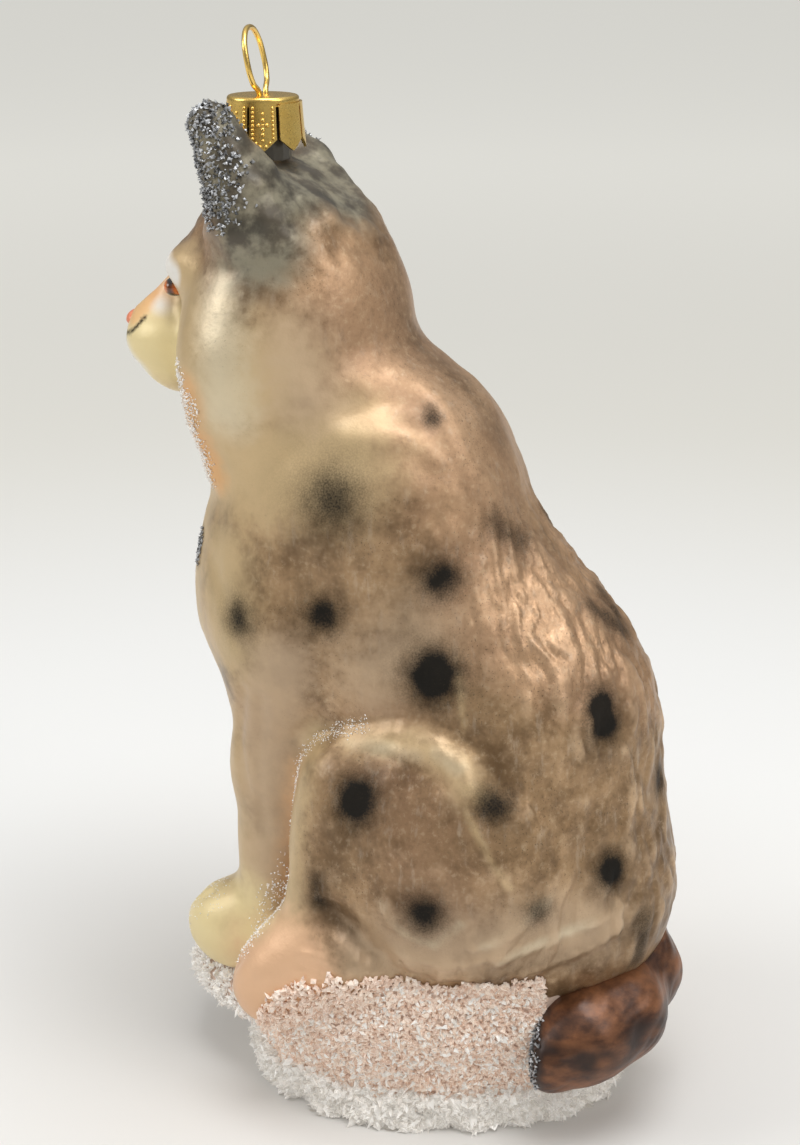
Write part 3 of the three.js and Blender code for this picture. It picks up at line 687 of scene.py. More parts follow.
class Finish:
    """A material that is built up node by node."""

    def __init__(self, name):
        self.material = bpy.data.materials.new(name)
        self.material.use_nodes = True
        self.tree = self.material.node_tree
        self.tree.nodes.clear()
        self.places = self.node("ShaderNodeTexCoord").outputs["Object"]

    def node(self, kind, settings=None, inputs=None):
        made = self.tree.nodes.new(kind)
        for key, value in (settings or {}).items():
            setattr(made, key, value)
        for key, value in (inputs or {}).items():
            self.feed(made.inputs[key], value)
        return made

    def feed(self, socket, value):
        if isinstance(value, Value):
            value = value.socket
        if isinstance(value, bpy.types.NodeSocket):
            self.tree.links.new(value, socket)
        else:
            socket.default_value = value

    def mask(self, name):
        made = self.node("ShaderNodeAttribute", {"attribute_name": name})
        return Value(self, made.outputs["Fac"])

    def grain(self, size, detail=2.0, roughness=0.5, stretch=(1, 1, 1)):
        scaled = self.node(
            "ShaderNodeVectorMath", {"operation": "MULTIPLY"}, {0: self.places, 1: stretch}
        )
        made = self.node(
            "ShaderNodeTexNoise", None,
            {"Vector": scaled.outputs[0], "Scale": 1 / (size * MM), "Detail": detail,
             "Roughness": roughness},
        )
        return Value(self, made.outputs["Fac"])

    def tint(self, share, under, over):
        made = self.node(
            "ShaderNodeMix", {"data_type": "RGBA", "clamp_factor": True},
            {0: share, 6: under, 7: over},
        )
        return made.outputs[2]

    def bump(self, height, strength, distance):
        made = self.node(
            "ShaderNodeBump", None,
            {"Height": height, "Strength": strength, "Distance": distance * MM},
        )
        return made.outputs["Normal"]

    def done(self, **inputs):
        """Closes the material with a surface whose inputs are named as its sockets are."""
        named = {
            key.replace("_", " ").title().replace("Ior", "IOR"): value
            for key, value in inputs.items()
        }
        shader = self.node("ShaderNodeBsdfPrincipled", None, named).outputs["BSDF"]
        self.node("ShaderNodeOutputMaterial", None, {"Surface": shader})
        return self.material


def paint(red, green, blue):
    """A screen colour of 0 to 255 as the renderer's light values."""
    shares = [value / 255 for value in (red, green, blue)]
    light = [s / 12.92 if s < 0.04045 else ((s + 0.055) / 1.055) ** 2.4 for s in shares]
    return (*light, 1.0)


def wear(thing, material):
    thing.data.materials.clear()
    thing.data.materials.append(material)


# Finishes

CREAMY_TONES = ("cream_and_highlight", "yellow", "peach", "orange", "grey", "pale")


def lacquered_glass():
    """Sprayed tones over a taupe metallic lacquer, among them painted shade in the creases and painted
    highlights on the cheek, haunch, ridges and upper back, mottled where no creamy tone covers it.
    """
    finish = Finish("lacquered_glass")
    cloud = finish.grain(6, 4, 0.6)
    haze = finish.grain(1.6, 3)
    speckle = finish.grain(0.2, 1)
    relief = finish.mask("relief")
    taupe = finish.tint(cloud.fade(0.32, 0.68), paint(118, 92, 64), paint(176, 144, 108))
    crest = (relief + (haze - 0.5) * 0.3).fade(0.5, 0.9)
    colour = finish.tint(crest * 0.55, taupe, paint(222, 190, 154))
    smoke = finish.grain(3.4, 4, 0.62).fade(0.38, 0.66)
    ashen = finish.tint(smoke, paint(70, 70, 64), paint(146, 142, 124))
    creamy = 0.0
    for name, shade_of, amount in (
        # Painted shade in the creases and grooves
        ("painted_shade", paint(98, 76, 54), 0.6),
        # Pink tone on the head and neck, and painted sheen on the upper back
        ("pink_and_sheen", paint(200, 161, 127), 0.64),
        ("dusty", paint(150, 116, 90), 0.6),
        # Cream, and the painted highlight along the top of the haunch
        ("cream_and_highlight", paint(212, 186, 142), 0.8),
        ("pale", paint(198, 173, 144), 0.7),
        ("peach", paint(238, 194, 156), 0.85),
        # Painted highlight on the cheek and along the ridges
        ("painted_highlight", paint(222, 210, 182), 0.7),
        ("yellow", paint(238, 220, 168), 0.85),
        ("orange", paint(232, 170, 108), 0.6),
        ("grey", ashen, 0.88),
    ):
        sprayed = finish.mask(name)
        loose = sprayed * (1 - sprayed) * 4
        edge = (sprayed + (haze - 0.5) * loose * 0.5 + (cloud - 0.5) * loose * 0.7).fade(0, 1)
        colour = finish.tint(edge * amount, colour, shade_of)
        if name in CREAMY_TONES:
            creamy = edge + creamy
    rough = (1 - creamy * 1.1).clamped()
    fine = finish.grain(0.8, 5, 0.72)
    streaks = finish.grain(1.2, 5, 0.65, (1, 1, 0.25))
    colour = finish.tint(fine.fade(0.5, 0.72) * rough * 0.22, colour, paint(238, 216, 182))
    colour = finish.tint((1 - fine).fade(0.5, 0.7) * rough * 0.24, colour, paint(74, 58, 42))
    colour = finish.tint(streaks.fade(0.55, 0.72) * rough * 0.18, colour, paint(226, 214, 196))
    dots = finish.mask("spots")
    overspray = (dots * 1.12 + (speckle - 0.5) * dots * (1 - dots) * 2.4).clamped()
    colour = finish.tint(overspray * 0.98, colour, paint(18, 19, 18))
    flecks = finish.grain(0.22, 1).fade(0.66, 0.72) * finish.grain(9, 1).fade(0.4, 0.6)
    colour = finish.tint(flecks * (1 - creamy * 0.8).clamped() * 0.5, colour, paint(60, 50, 38))
    colour = finish.tint(finish.mask("white") * 0.9, colour, paint(238, 236, 232))
    colour = finish.tint(finish.mask("black"), colour, paint(18, 14, 12))
    colour = finish.tint(finish.mask("eye_rim"), colour, paint(16, 12, 10))
    lines = (finish.mask("white") + finish.mask("black") + overspray).clamped()
    painted = (lines + creamy * 0.45).clamped()
    hairs = finish.grain(0.8, 2, 0.5, (1, 1, 0.2)) * finish.mask("fur")
    pores = finish.grain(0.45, 3)
    return finish.done(
        base_color=colour,
        metallic=0.62 - painted * 0.55,
        roughness=0.36 + haze * 0.16 + lines * 0.2,
        specular_ior_level=0.12,
        coat_weight=(0.36 - lines * 0.5).clamped(),
        coat_roughness=0.28,
        normal=finish.bump(hairs * 2 + pores * 0.5, 0.55, 0.12),
    )


def tail_lacquer():
    finish = Finish("brown_lacquer")
    streak = finish.grain(2.2, 5, 0.62, (0.5, 0.5, 1))
    colour = finish.tint(streak.fade(0.3, 0.72), paint(62, 34, 20), paint(142, 92, 58))
    colour = finish.tint(finish.mask("stripe") * 0.92, colour, paint(34, 17, 9))
    return finish.done(
        base_color=colour,
        metallic=0.35,
        roughness=0.34 + streak * 0.2,
        coat_weight=0.2,
        coat_roughness=0.3,
        normal=finish.bump(finish.grain(0.6, 3), 0.4, 0.06),
    )


def snow_base():
    finish = Finish("snow_base")
    cloud = finish.grain(2.5, 4)
    colour = finish.tint(cloud, paint(206, 170, 150), paint(232, 214, 200))
    colour = finish.tint(finish.mask("rim"), colour, paint(236, 234, 232))
    return finish.done(
        base_color=colour,
        roughness=0.6,
        normal=finish.bump(finish.grain(0.5, 3), 0.6, 0.15),
    )


def crushed_glass(name, dark, light, painted_glow, metallic=0.0):
    finish = Finish(name)
    tone = finish.mask("tone")
    colour = finish.tint(tone, dark, light)
    colour = finish.tint(finish.grain(0.7, 1).fade(0.4, 0.7) * 0.2, colour, paint(255, 255, 255))
    return finish.done(
        base_color=colour,
        metallic=metallic,
        roughness=0.14 + tone * 0.35,
        coat_weight=0.4,
        coat_roughness=0.1,
        # The emission is a painted glow that stands in for light passing through the grains and lifts
        # their shadows
        emission_color=colour,
        emission_strength=painted_glow,
    )


def gilded_metal():
    finish = Finish("gold_metal")
    cloud = finish.grain(1.8, 3)
    scuff = finish.grain(0.25, 3, 0.6)
    colour = finish.tint(cloud, paint(238, 192, 96), paint(252, 222, 138))
    return finish.done(
        base_color=colour,
        metallic=1.0,
        roughness=0.2 + scuff * 0.18,
        normal=finish.bump(scuff, 0.15, 0.03),
    )


def dark_glass():
    finish = Finish("dark_glass")
    cloud = finish.grain(1.5, 3)
    colour = finish.tint(cloud, paint(52, 48, 42), paint(92, 86, 76))
    return finish.done(
        base_color=colour, metallic=0.5, roughness=0.3 + cloud * 0.1, coat_weight=0.3
    )


def eye_paint():
    finish = Finish("eye_paint")
    rays = finish.grain(0.25, 2)
    around = finish.mask("iris")
    colour = finish.tint(rays, paint(206, 92, 40), paint(240, 150, 74))
    colour = finish.tint(around.fade(0.6, 0.78), colour, paint(20, 12, 10))
    colour = finish.tint(finish.mask("pupil"), colour, paint(12, 8, 8))
    return finish.done(base_color=colour, roughness=0.22, coat_weight=0.6, coat_roughness=0.1)


def nose_paint():
    finish = Finish("nose_paint")
    cloud = finish.grain(0.8, 3)
    colour = finish.tint(cloud, paint(216, 112, 76), paint(236, 150, 112))
    colour = finish.tint(finish.mask("nostril"), colour, paint(30, 14, 12))
    return finish.done(
        base_color=colour, roughness=0.35 + cloud * 0.1, coat_weight=0.3,
        normal=finish.bump(cloud, 0.2, 0.03),
    )


GLASS_NODES = [
    "left_ear", "right_ear", "head", "neck", "trunk", "left_haunch", "right_haunch",
    "left_hind_paw", "right_hind_paw", "left_foreleg", "right_foreleg", "left_front_paw",
    "right_front_paw",
]
wear(skin, lacquered_glass())
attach(skin, "root")
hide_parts(*GLASS_NODES)

# Tail, with fur lines that follow its curve

tail = join_pieces(*add_lumps(TAIL))
apply_modifier(tail, "REMESH", mode="VOXEL", voxel_size=0.35 * MM)
name_piece(tail, "brown_tail")
points, outward = blow_to(tail, tail_gap, 6)
CURL_Y = 14
CURL_RADIUS = 15
CURL_OUTSIDE = 17
TAIL_Z = 13
TAIL_RADIUS = 4.6
run = np.arctan2(points[:, 0], points[:, 1] - CURL_Y) * CURL_OUTSIDE
inward = np.hypot(points[:, 0], points[:, 1] - CURL_Y) - CURL_RADIUS
turn = np.arctan2(points[:, 2] - TAIL_Z, inward) * TAIL_RADIUS
combed = np.stack([turn + run * 0.45, run * 0.28, np.zeros(len(points))], 1)
combed[:, 0] += noise_at(points, (4, 4, 4), 2.2) * 1.3
lines = strands(combed, (1.15, 1.2, 1), 4.4, 0.4)
tip = fade(beyond_tip(points), 0.3, 1.7)
bulges = noise_at(points, (4, 4, 4), 8.8)
points += outward * ((lines * 0.12 + bulges * 0.12) * (1 - 0.6 * tip))[:, None]
write_points(tail, points)
STRIPE_Z = 13.4
middle = bell(points[:, 2] - STRIPE_Z + bulges * 2.4, 2)
patchy = 0.75 + 0.9 * noise_at(points, (2.6, 2.6, 1.8), 6.1)
write_mask(tail, "stripe", middle * patchy + tip * 0.9 - lines * 0.2)
shade(tail)
wear(tail, tail_lacquer())
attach(tail, "root")
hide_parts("tail")

# Mound under the grains: rough lumps that are then blown to its true shape

bottom = add_ball((0, 7, 8), (19.5, 25.5, 10.5))
step = add_ball((0, -12, 9), (13, 13, 5))
DRUM_SIZE = (18.4, 22, 19)
bpy.ops.mesh.primitive_cylinder_add(
    vertices=64, radius=1, depth=1, location=place(*MOUND_CENTRE, DRUM_SIZE[2] / 2)
)
drum = bpy.context.object
drum.scale = [size * MM for size in DRUM_SIZE]
settle_transform(drum)
mound = join_pieces(drum, bottom, step)
apply_modifier(mound, "REMESH", mode="VOXEL", voxel_size=0.6 * MM)
name_piece(mound, "snow_mound_body")
points, outward = blow_to(mound, mound_gap, 10)
lumpy = noise_at(points, (3, 3, 3), 9.1) * 0.5 + noise_at(points, (1.3, 1.3, 1.3), 2.7) * 0.25
points += outward * (lumpy * fade(points[:, 2], 0.2, 1.5))[:, None]
points[:, 2] = np.maximum(points[:, 2], 0)
write_points(mound, points)
write_mask(mound, "rim", 1 - fade(points[:, 2] + lumpy, 2.5, 5))
shade(mound)
wear(mound, snow_base())
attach(mound, "root")
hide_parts("snow_mound")

# Crushed glass grains

rng = np.random.default_rng(41)


def shard_shape():
    """A four-sided spindle: a pointed cone whose base is drawn out to a second point."""
    clear_selection()
    bpy.ops.mesh.primitive_cone_add(vertices=4, radius1=1, radius2=0, depth=1, location=(0, 0, 0.5))
    shard = bpy.context.object
    settle_transform(shard)
    bpy.ops.object.mode_set(mode="EDIT")
    bpy.ops.mesh.select_all(action="DESELECT")
    bpy.ops.object.mode_set(mode="OBJECT")
    for face in shard.data.polygons:
        face.select = len(face.vertices) == 4
    bpy.ops.object.mode_set(mode="EDIT")
    bpy.ops.mesh.select_mode(type="FACE")
    bpy.ops.mesh.poke(offset=1)
    bpy.ops.object.mode_set(mode="OBJECT")
    return take_shape(shard)


SHARD_CORNERS, SHARD_FACES = shard_shape()


def roots_on(thing, wanted, keep):
    """Random places on the piece's surface where keep says yes, with their outward directions."""
    mesh = thing.data
    mesh.calc_loop_triangles()
    corners = np.empty(len(mesh.loop_triangles) * 3, np.int32)
    mesh.loop_triangles.foreach_get("vertices", corners)
    corners = corners.reshape(-1, 3)
    points = read_points(thing)
    a, b, c = (points[corners[:, k]] for k in range(3))
    middle = (a + b + c) / 3
    normal = np.cross(b - a, c - a)
    area = np.linalg.norm(normal, axis=1) / 2
    density = area * keep(middle)
    chosen = rng.choice(len(area), wanted, p=density / density.sum())
    u, v = rng.random(wanted), rng.random(wanted)
    flip = u + v > 1
    u[flip], v[flip] = 1 - u[flip], 1 - v[flip]
    u, v = u[:, None], v[:, None]
    roots = a[chosen] * (1 - u - v) + b[chosen] * u + c[chosen] * v
    return roots, normal[chosen] / (2 * area[chosen, None] + 1e-12)


def random_turns(count, upright, lean):
    """Turning matrices whose third axis lies within lean of the upright directions."""
    third = upright + lean * rng.normal(size=(count, 3))
    third /= np.linalg.norm(third, axis=1, keepdims=True)
    first = np.cross(third, rng.normal(size=(count, 3)))
    first /= np.linalg.norm(first, axis=1, keepdims=True)
    second = np.cross(third, first)
    return np.stack([first, second, third], 2)


# Width of a grain's patch in the bake, as a share of the picture
BAKE_PATCH = 0.0015


def scatter(name, roots, upright, length, breadth, lean, lift, material):
    """One piece of grains: ranges of length and breadth, lean of their directions, lift in lengths."""
    count = len(roots)
    sizes = np.stack([
        rng.uniform(*breadth, count),
        rng.uniform(*breadth, count) * rng.uniform(0.5, 1, count),
        rng.uniform(*length, count),
    ], 1) / 2
    jitter = 1 + 0.35 * rng.normal(size=(count, len(SHARD_CORNERS), 1))
    local = SHARD_CORNERS[None] * sizes[:, None] * jitter
    turned = np.einsum("nij,nkj->nki", random_turns(count, upright, lean), local)
    centres = roots + upright * (lift * sizes[:, 2])[:, None]
    corners = centres[:, None] + turned
    corners[:, :, 2] = np.maximum(corners[:, :, 2], 0.0)
    faces = np.array(SHARD_FACES)[None] + (np.arange(count) * len(SHARD_CORNERS))[:, None, None]
    grains = mesh_of(name, corners.reshape(-1, 3), faces.reshape(-1, 3).tolist())
    write_mask(grains, "tone", np.repeat(rng.uniform(0, 1, count), len(SHARD_CORNERS)))
    # Each grain bakes to a small patch at its root's place round the figure
    around = np.arctan2(roots[:, 0], roots[:, 1] - MOUND_CENTRE[1]) / (2 * math.pi) * 0.98 + 0.5
    height = roots[:, 2] / 130 + 0.02
    patch = np.stack([around, height], 1)[:, None] + (SHARD_CORNERS[:, [0, 2]] * BAKE_PATCH)[None]
    layer = grains.data.uv_layers.new(name="OFBake")
    at_corner = patch.reshape(-1, 2)[faces.reshape(-1)]
    layer.data.foreach_set("uv", at_corner.astype(np.float32).ravel())
    wear(grains, material)
    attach(grains, "root")


def clumps(points):
    return np.clip(0.55 + 1.3 * noise_at(points, (2.6, 2.6, 2.6), 3.7), 0, 1)


def sprinkle(name, thing, count, keep, length, breadth, lean, lift, material, heap=0):
    """Grains on the part of a piece that keep says yes to, in heaps of up to this height."""
    roots, upright = roots_on(thing, count, keep)
    if heap:
        roots += upright * (clumps(roots) * rng.random(count))[:, None] * heap
    scatter(name, roots, upright, length, breadth, lean, lift, material)


def clear_of_lynx(points):
    return (skin_gap(points) > -0.1) & (tail_gap(points) > -0.3)


# The number after the two colours is a painted glow, standing in for light through the grains
beige_grains = crushed_glass("beige_grains", paint(220, 188, 166), paint(246, 232, 218), 0.1)
white_grains = crushed_glass("white_grains", paint(222, 217, 210), paint(246, 243, 238), 0.12)
silver_grains = crushed_glass("silver_grains", paint(40, 40, 43), paint(206, 208, 212), 0, 0.4)


def bare_facet(points):
    """Yes where the glass stays bare, on top of the mound beside the tail."""
    return (points[:, 2] > 15.5) & (points[:, 1] > 22.4) & (points[:, 0] > -4)


def upper_mound(points):
    behind_paws = fade(points[:, 1], -16, -12)
    return clear_of_lynx(points) * ~bare_facet(points) * fade(points[:, 2], 1.5, 5) * behind_paws


def lower_rim(points):
    low = (1 - fade(points[:, 2], 2.2, 6)) * (points[:, 2] > 0.05)
    return clear_of_lynx(points) * low * (0.3 + clumps(points))


def paw_snow(points):
    return clear_of_lynx(points) * fade(-points[:, 1], 13, 17) * (0.5 + clumps(points))


sprinkle("mound_grains", mound, 22000, upper_mound, (0.4, 0.95), (0.4, 0.85), 0.9, 0.4, beige_grains)
sprinkle("mound_shards", mound, 3000, upper_mound, (0.5, 1.3), (0.3, 0.8), 0.9, 0.6, white_grains)
sprinkle("rim_grains", mound, 13000, lower_rim, (0.5, 1.6), (0.4, 1), 0.8, 0.4, white_grains, 1.6)
sprinkle("paw_snow", mound, 5000, paw_snow, (0.5, 1.5), (0.3, 0.8), 0.8, 0.4, white_grains, 1)

# Snow that climbs up the foot and the underside of the haunches
SNOW_EDGE_Y = [-10.5, -8.7, -6.3, -3.7, 0, 5.4, 11.9, 18.4, 22.4]
SNOW_EDGE_Z = [12, 16.3, 18.7, 20.3, 21.4, 21.7, 20.9, 21.2, 21.7]
SNOW_FRONT_Y = -10
SNOW_BACK_Y = 22.6
SNOW_INNER_X = 12
SNOW_BOTTOM_Z = 11


def snow_crust(points):
    edge = np.interp(points[:, 1], SNOW_EDGE_Y, SNOW_EDGE_Z)
    edge += 0.9 * noise_at(points, (1.8, 1.8, 1.8), 5.1)
    within = (points[:, 1] > SNOW_FRONT_Y) & (points[:, 1] < SNOW_BACK_Y)
    within &= (np.abs(points[:, 0]) > SNOW_INNER_X) & (points[:, 2] > SNOW_BOTTOM_Z)
    return within * (1 - fade(points[:, 2] - edge, -0.6, 0.3))


sprinkle("snow_crust", skin, 9000, snow_crust, (0.4, 1.1), (0.4, 0.85), 0.8, 0.6, beige_grains)

# Glitter on the lynx: path, solid radius, fading radius, count, finish, lengths, breadths

GLITTER = {
    "ear_glitter": ([(12.2, -18.6, 116), (12.6, -17.6, 111.5), (12.9, -16.6, 107.2)],
                    1.2, 5.2, 1300, silver_grains, (0.3, 0.7), (0.25, 0.55)),
    "ruff_glitter": ([(12.6, -21, 87.5), (14, -19.7, 84.9), (11.4, -20.3, 80.8), (10.6, -19.6, 78.1),
                      (9.6, -19.6, 75.3)], 0.2, 2.2, 1600, white_grains, (0.15, 0.45), (0.12, 0.3)),
    "knee_glitter": ([(15.2, -7.8, 34), (14.6, -7.4, 40), (14.2, -6.6, 43.6), (14.4, -4, 46.6),
                      (15, -1.2, 48.5), (15.5, 0.9, 49.4)], 0.2, 1.7, 1100, white_grains,
                     (0.1, 0.3), (0.08, 0.22)),
    "paw_glitter": ([(13.4, -5.5, 29.5), (14.4, -9, 25), (16.5, -11.5, 21)],
                    1.4, 5, 3400, white_grains, (0.15, 0.4), (0.12, 0.28)),
    "front_paw_glitter": ([(9, -24, 20), (10, -20, 22)],
                          1.5, 4, 350, white_grains, (0.12, 0.25), (0.1, 0.2)),
    "chest_glitter": ([(8.2, -22.2, 67.4), (7.9, -21.9, 64.6)],
                      0.4, 1.7, 220, silver_grains, (0.25, 0.5), (0.2, 0.4)),
}
for name, (path, solid, soft, count, material, length, breadth) in GLITTER.items():

    def near_path(points, path=path, solid=solid, soft=soft):
        return 1 - fade(path_gap(folded(points), path), solid, soft)

    sprinkle(name, skin, count, near_path, length, breadth, 0.7, 0.5, material)


def tail_tip(points):
    return fade(beyond_tip(points), 0.9, 1.9)


sprinkle("tail_tip_glitter", tail, 320, tail_tip, (0.3, 0.7), (0.25, 0.5), 0.7, 0.5, silver_grains)

# Eyes and nose


def add_patch(name, centre, radii, node, material):
    piece = add_ball(centre, radii, 48, 32)
    name_piece(piece, name)
    shade(piece)
    wear(piece, material)
    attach(piece, "root")
    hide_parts(node)
    return piece


EYE_X = 3.7
EYE_Y = -26.1
EYE_Z = 95.4
IRIS_X = 4.2
eye_finish = eye_paint()
for name, side in (("left_eye", 1), ("right_eye", -1)):
    eye = add_patch(name + "_glass", (side * EYE_X, EYE_Y, EYE_Z), (1.6, 1.25, 1.1), name,
                    eye_finish)
    points = read_points(eye)
    sideways = points[:, 0] * side - IRIS_X
    upwards = points[:, 2] - EYE_Z
    write_mask(eye, "iris", np.hypot(sideways / 1.5, upwards / 1.15))
    write_mask(eye, "pupil", 1 - fade(np.hypot((sideways + 0.25) / 0.35, upwards / 0.85), 0.8, 1.1))

nose = add_patch("nose_tip", (0, -32.8, 90.5), (1.9, 1.35, 1.2), "nose", nose_paint())
points = read_points(nose)
under = np.clip(90.4 - points[:, 2], 0, 1)
points[:, 0] *= 1 - 0.45 * under
write_points(nose, points)
write_mask(nose, "nostril", 1 - fade(points[:, 2], 89.5, 89.9))

# Metal cap: tabs with beaded edges on a domed top

CAP_BASE_Z = 111.2
CAP_TOP_Z = 117
CAP_TOP_RADIUS = 4.05
CAP_WIDENING = 0.45
CAP_WALL = 0.3
TABS = 8
TAB_HALF = math.pi / TABS
TAB_TOP = 5.1
TAB_POINT = 1.25
TAB_SHARE = 0.92
POINT_END = 1.3
POINT_NARROWING = 0.14
SLOT_END = 4.6


def cap_point(angle, height, lift=0.0):
    """A place on the cap's outside, which widens toward its lower edge."""
    share = height / (CAP_TOP_Z - CAP_BASE_Z)
    radius = CAP_TOP_RADIUS + CAP_WIDENING * (1 - share) ** 1.2 + lift
    return (radius * math.sin(angle), CAP_Y - radius * math.cos(angle), CAP_BASE_Z + height)


clear_selection()
bpy.ops.mesh.primitive_grid_add(x_subdivisions=12, y_subdivisions=18, size=2)
tab = bpy.context.object
tab_places = []
for across, up, _ in [vertex.co[:] for vertex in tab.data.vertices]:
    low = TAB_POINT * abs(across) ** 1.3
    height = low + (TAB_TOP - low) * (up + 1) / 2
    width = TAB_SHARE - POINT_NARROWING * max(0, POINT_END - height)
    width += (1 - width) * max(0, (height - SLOT_END) / (TAB_TOP - SLOT_END))
    tab_places.append((across * TAB_HALF * width, height))
cap_pieces = []
for index in range(TABS):
    copy = tab.copy()
    copy.data = tab.data.copy()
    bpy.context.scene.collection.objects.link(copy)
    middle = (index + 0.5) * 2 * TAB_HALF
    write_points(copy, np.array([cap_point(middle + angle, height) for angle, height in tab_places]))
    cap_pieces.append(copy)
bpy.data.objects.remove(tab)


def select_faces(thing, chosen):
    """Selects the faces that chosen says yes to, by their middle and outward direction."""
    bpy.ops.object.mode_set(mode="OBJECT")
    for part in (*thing.data.edges, *thing.data.vertices):
        part.select = False
    for face in thing.data.polygons:
        face.select = chosen(face.center / MM, face.normal)
    bpy.ops.object.mode_set(mode="EDIT")
    bpy.ops.mesh.select_mode(type="FACE")


clear_selection()
bpy.ops.mesh.primitive_cylinder_add(
    vertices=96, radius=4.06 * MM, depth=1 * MM, location=place(0, CAP_Y, CAP_TOP_Z - 0.5)
)
crown = bpy.context.object
settle_transform(crown)
select_faces(crown, lambda middle, out: out.z < -0.5)
bpy.ops.mesh.delete(type="FACE")
select_faces(crown, lambda middle, out: out.z > 0.5)
bpy.ops.mesh.bevel(offset=0.4 * MM, segments=4, affect="EDGES")
CAP_MIDDLE = Vector((0, CAP_Y + DRAWING_Y))
select_faces(crown, lambda middle, out: out.z > 0.99 and (middle.xy - CAP_MIDDLE).length < 0.5)
bpy.ops.mesh.inset(thickness=1.2 * MM, depth=0.04 * MM)
bpy.ops.mesh.inset(thickness=1.2 * MM, depth=-0.06 * MM)
bpy.ops.object.mode_set(mode="OBJECT")
cap_pieces.append(crown)
cap = join_pieces(*cap_pieces)
select_only(cap)
bpy.ops.object.mode_set(mode="EDIT")
bpy.ops.mesh.select_all(action="SELECT")
bpy.ops.mesh.remove_doubles(threshold=0.00002)
bpy.ops.mesh.normals_make_consistent(inside=False)
bpy.ops.object.mode_set(mode="OBJECT")
apply_modifier(cap, "SOLIDIFY", thickness=CAP_WALL * MM, offset=-1)

clear_selection()
bpy.ops.mesh.primitive_uv_sphere_add(segments=8, ring_count=5, radius=1)
bead_corners, bead_faces = take_shape(bpy.context.object)

# Stamped beads of a tab: share of its half width, height over the cap's edge, radius
BORDER_BEADS = [(0.68, height, 0.2) for height in np.arange(1.4, 4.7, 0.47)]
BORDER_BEADS += [(0.45, 0.9, 0.2), (0.2, 0.55, 0.2), (0.28, 2.85, 0.24)]
MIDDLE_BEADS = [(0, 1.2, 0.18), (0, 1.85, 0.23), (0, 2.4, 0.25), (0, 2.9, 0.16), (0, 3.4, 0.25),
                (0, 4.1, 0.2)]
BEAD_LIFT = 0.02

corners, faces = [], []
for index in range(TABS):
    middle = -(index + 0.5) * 2 * TAB_HALF
    for side, beads in ((-1, BORDER_BEADS), (1, BORDER_BEADS), (0, MIDDLE_BEADS)):
        for share, height, size in beads:
            centre = cap_point(middle + side * TAB_HALF * share, height, BEAD_LIFT)
            faces += [[corner + len(corners) for corner in face] for face in bead_faces]
            corners += (centre + bead_corners * size).tolist()
cap = join_pieces(cap, mesh_of("cap_beads", np.array(corners), faces))
name_piece(cap, "gold_cap")
shade(cap, 50)
gold = gilded_metal()
wear(cap, gold)
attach(cap, "root")
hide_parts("cap")

# Wire loop

LOOP = [(-1.7, -3.4), (-1.5, -1), (-1.5, 0.2), (-3.3, 1.6), (-3.8, 3.9), (-2.9, 6.2), (0, 7.28)]
LOOP_TURN = 0.17
LOOP_LEAN = 0.2
WIRE_RADIUS = 0.32
sides = LOOP + [(-s, h) for s, h in LOOP[-2::-1]]
curve = bpy.data.curves.new("gold_loop", "CURVE")
curve.dimensions = "3D"
curve.bevel_depth = WIRE_RADIUS * MM
curve.bevel_resolution = 5
curve.use_fill_caps = True
spline = curve.splines.new("BEZIER")
spline.bezier_points.add(len(sides) - 1)
for knot, (across, height) in zip(spline.bezier_points, sides):
    back = -max(height, 0) * LOOP_LEAN
    knot.co = place(
        across * math.cos(LOOP_TURN) - back * math.sin(LOOP_TURN),
        across * math.sin(LOOP_TURN) + back * math.cos(LOOP_TURN) + CAP_Y,
        CAP_TOP_Z + height,
    )
    knot.handle_left_type = knot.handle_right_type = "AUTO"
spline.resolution_u = 10
loop = bpy.data.objects.new("gold_loop", curve)
bpy.context.scene.collection.objects.link(loop)
select_only(loop)
bpy.ops.object.convert(target="MESH")
loop = bpy.context.object
shade(loop)
wear(loop, gold)
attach(loop, "root")
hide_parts("wire_loop")

# The glass neck keeps its shape and gets a dark, silvery finish
wear(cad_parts["glass_neck"], dark_glass())

# Camera, floor and light

clear_selection()
bpy.ops.mesh.primitive_circle_add(vertices=128, radius=3, fill_type="NGON")
floor = bpy.context.object
name_piece(floor, "floor")


def shadowed_glowing_floor():
    finish = Finish("shadowed_glowing_floor")
    made = finish.node("ShaderNodeVectorMath", {"operation": "LENGTH"}, {0: finish.places})
    distance = Value(finish, made.outputs["Value"])
    # Painted shadow: the floor is darker round the figure's foot. Farther out it turns a little darker
    # and warmer
    near = finish.tint(distance.fade(0.02, 0.11), paint(222, 220, 217), paint(237, 237, 236))
    colour = finish.tint(distance.fade(0.12, 0.34), near, paint(228, 226, 219))
    return finish.done(
        base_color=colour,
        roughness=0.65 + finish.grain(40, 2) * 0.05,
        # Painted light: a glow that grows with distance, lifting the far floor and lighting the figure
        # as a bright surround
        emission_color=finish.tint(distance.fade(0.15, 0.9), (0, 0, 0, 1), (0.26, 0.26, 0.25, 1)),
        emission_strength=1.0,
    )


wear(floor, shadowed_glowing_floor())


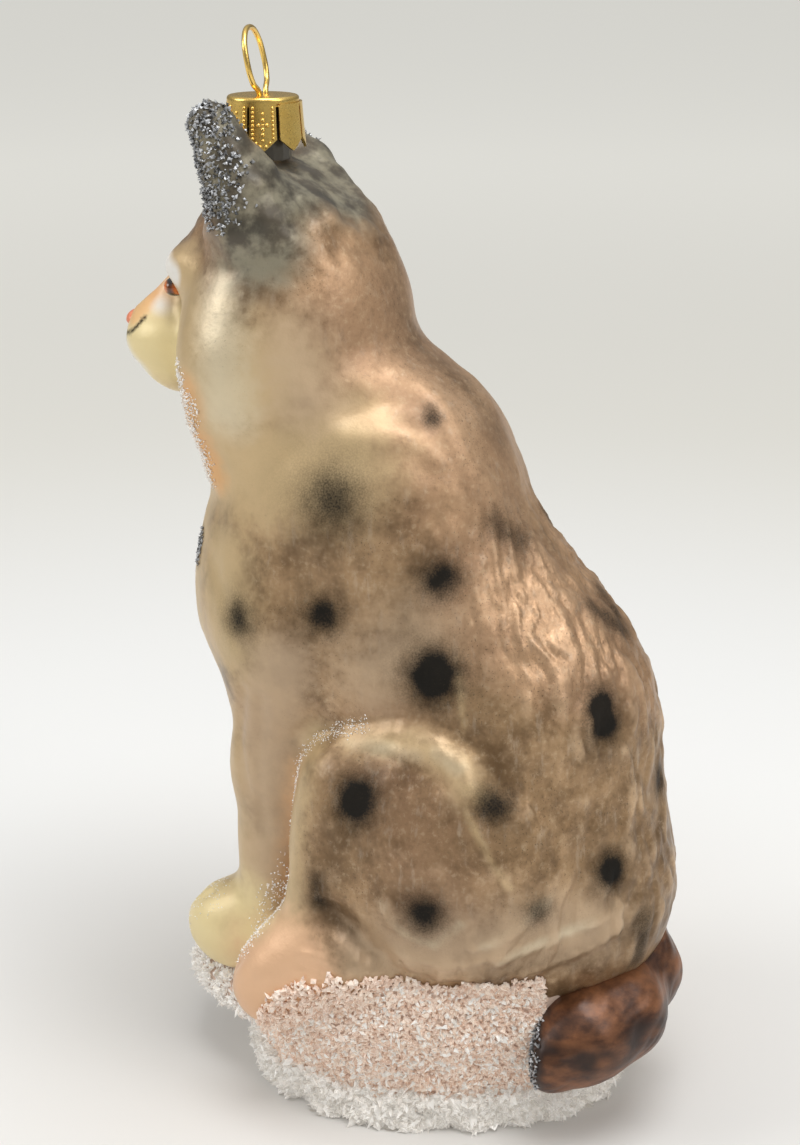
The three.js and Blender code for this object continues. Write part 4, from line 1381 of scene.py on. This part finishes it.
def turned_to(stand, aim):
    """The turn of a camera or lamp that stands at one place and looks at another."""
    return (Vector(aim) - Vector(stand)).to_track_quat("-Z", "Y").to_euler()


LENS = 67.85
CAMERA_FROM = place(225.5, 82.1, 142)
CAMERA_AIM = place(0, 0, 62.6)
camera = bpy.data.objects.new("camera", bpy.data.cameras.new("camera"))
bpy.context.scene.collection.objects.link(camera)
camera.data.lens = LENS
camera.data.sensor_width = 36
camera.data.clip_start = 0.01
camera.location = CAMERA_FROM
camera.rotation_euler = turned_to(CAMERA_FROM, CAMERA_AIM)
bpy.context.scene.camera = camera


def add_softbox(name, location, aim, size, watts, colour=(1, 1, 1)):
    light = bpy.data.lights.new(name, "AREA")
    light.shape = "DISK"
    light.size = size
    light.energy = watts
    light.color = colour
    box = bpy.data.objects.new(name, light)
    bpy.context.scene.collection.objects.link(box)
    box.location = location
    box.rotation_euler = turned_to(location, aim)


add_softbox("overhead", (0.08, 0.12, 0.62), (0, 0, 0.05), 0.4, 2.1)
add_softbox("window", (0.3, -0.6, 0.45), (0, 0, 0.06), 0.4, 1.6)
add_softbox("fill", (0.2, 0.6, 0.5), (0, 0, 0.05), 0.4, 1.1, (1, 0.97, 0.94))

world = bpy.data.worlds.new("studio")
bpy.context.scene.world = world
world.use_nodes = True
sky = world.node_tree
backdrop = sky.nodes["Background"]
toward = sky.nodes.new("ShaderNodeTexCoord")
parts = sky.nodes.new("ShaderNodeSeparateXYZ")
shades = sky.nodes.new("ShaderNodeValToRGB")
sky.links.new(toward.outputs["Generated"], parts.inputs[0])
sky.links.new(parts.outputs["Z"], shades.inputs["Fac"])
sky.links.new(shades.outputs["Color"], backdrop.inputs["Color"])
ramp = shades.color_ramp
ramp.elements[0].position = 0.0
ramp.elements[0].color = (0.2, 0.2, 0.195, 1)
ramp.elements[1].position = 1.0
ramp.elements[1].color = (0.95, 0.95, 0.93, 1)
for position, level in ((0.25, 0.3), (0.6, 0.55)):
    stop = ramp.elements.new(position)
    stop.color = (level, level, level * 0.98, 1)
backdrop.inputs["Strength"].default_value = 0.8
bpy.context.scene.view_settings.view_transform = "Standard"
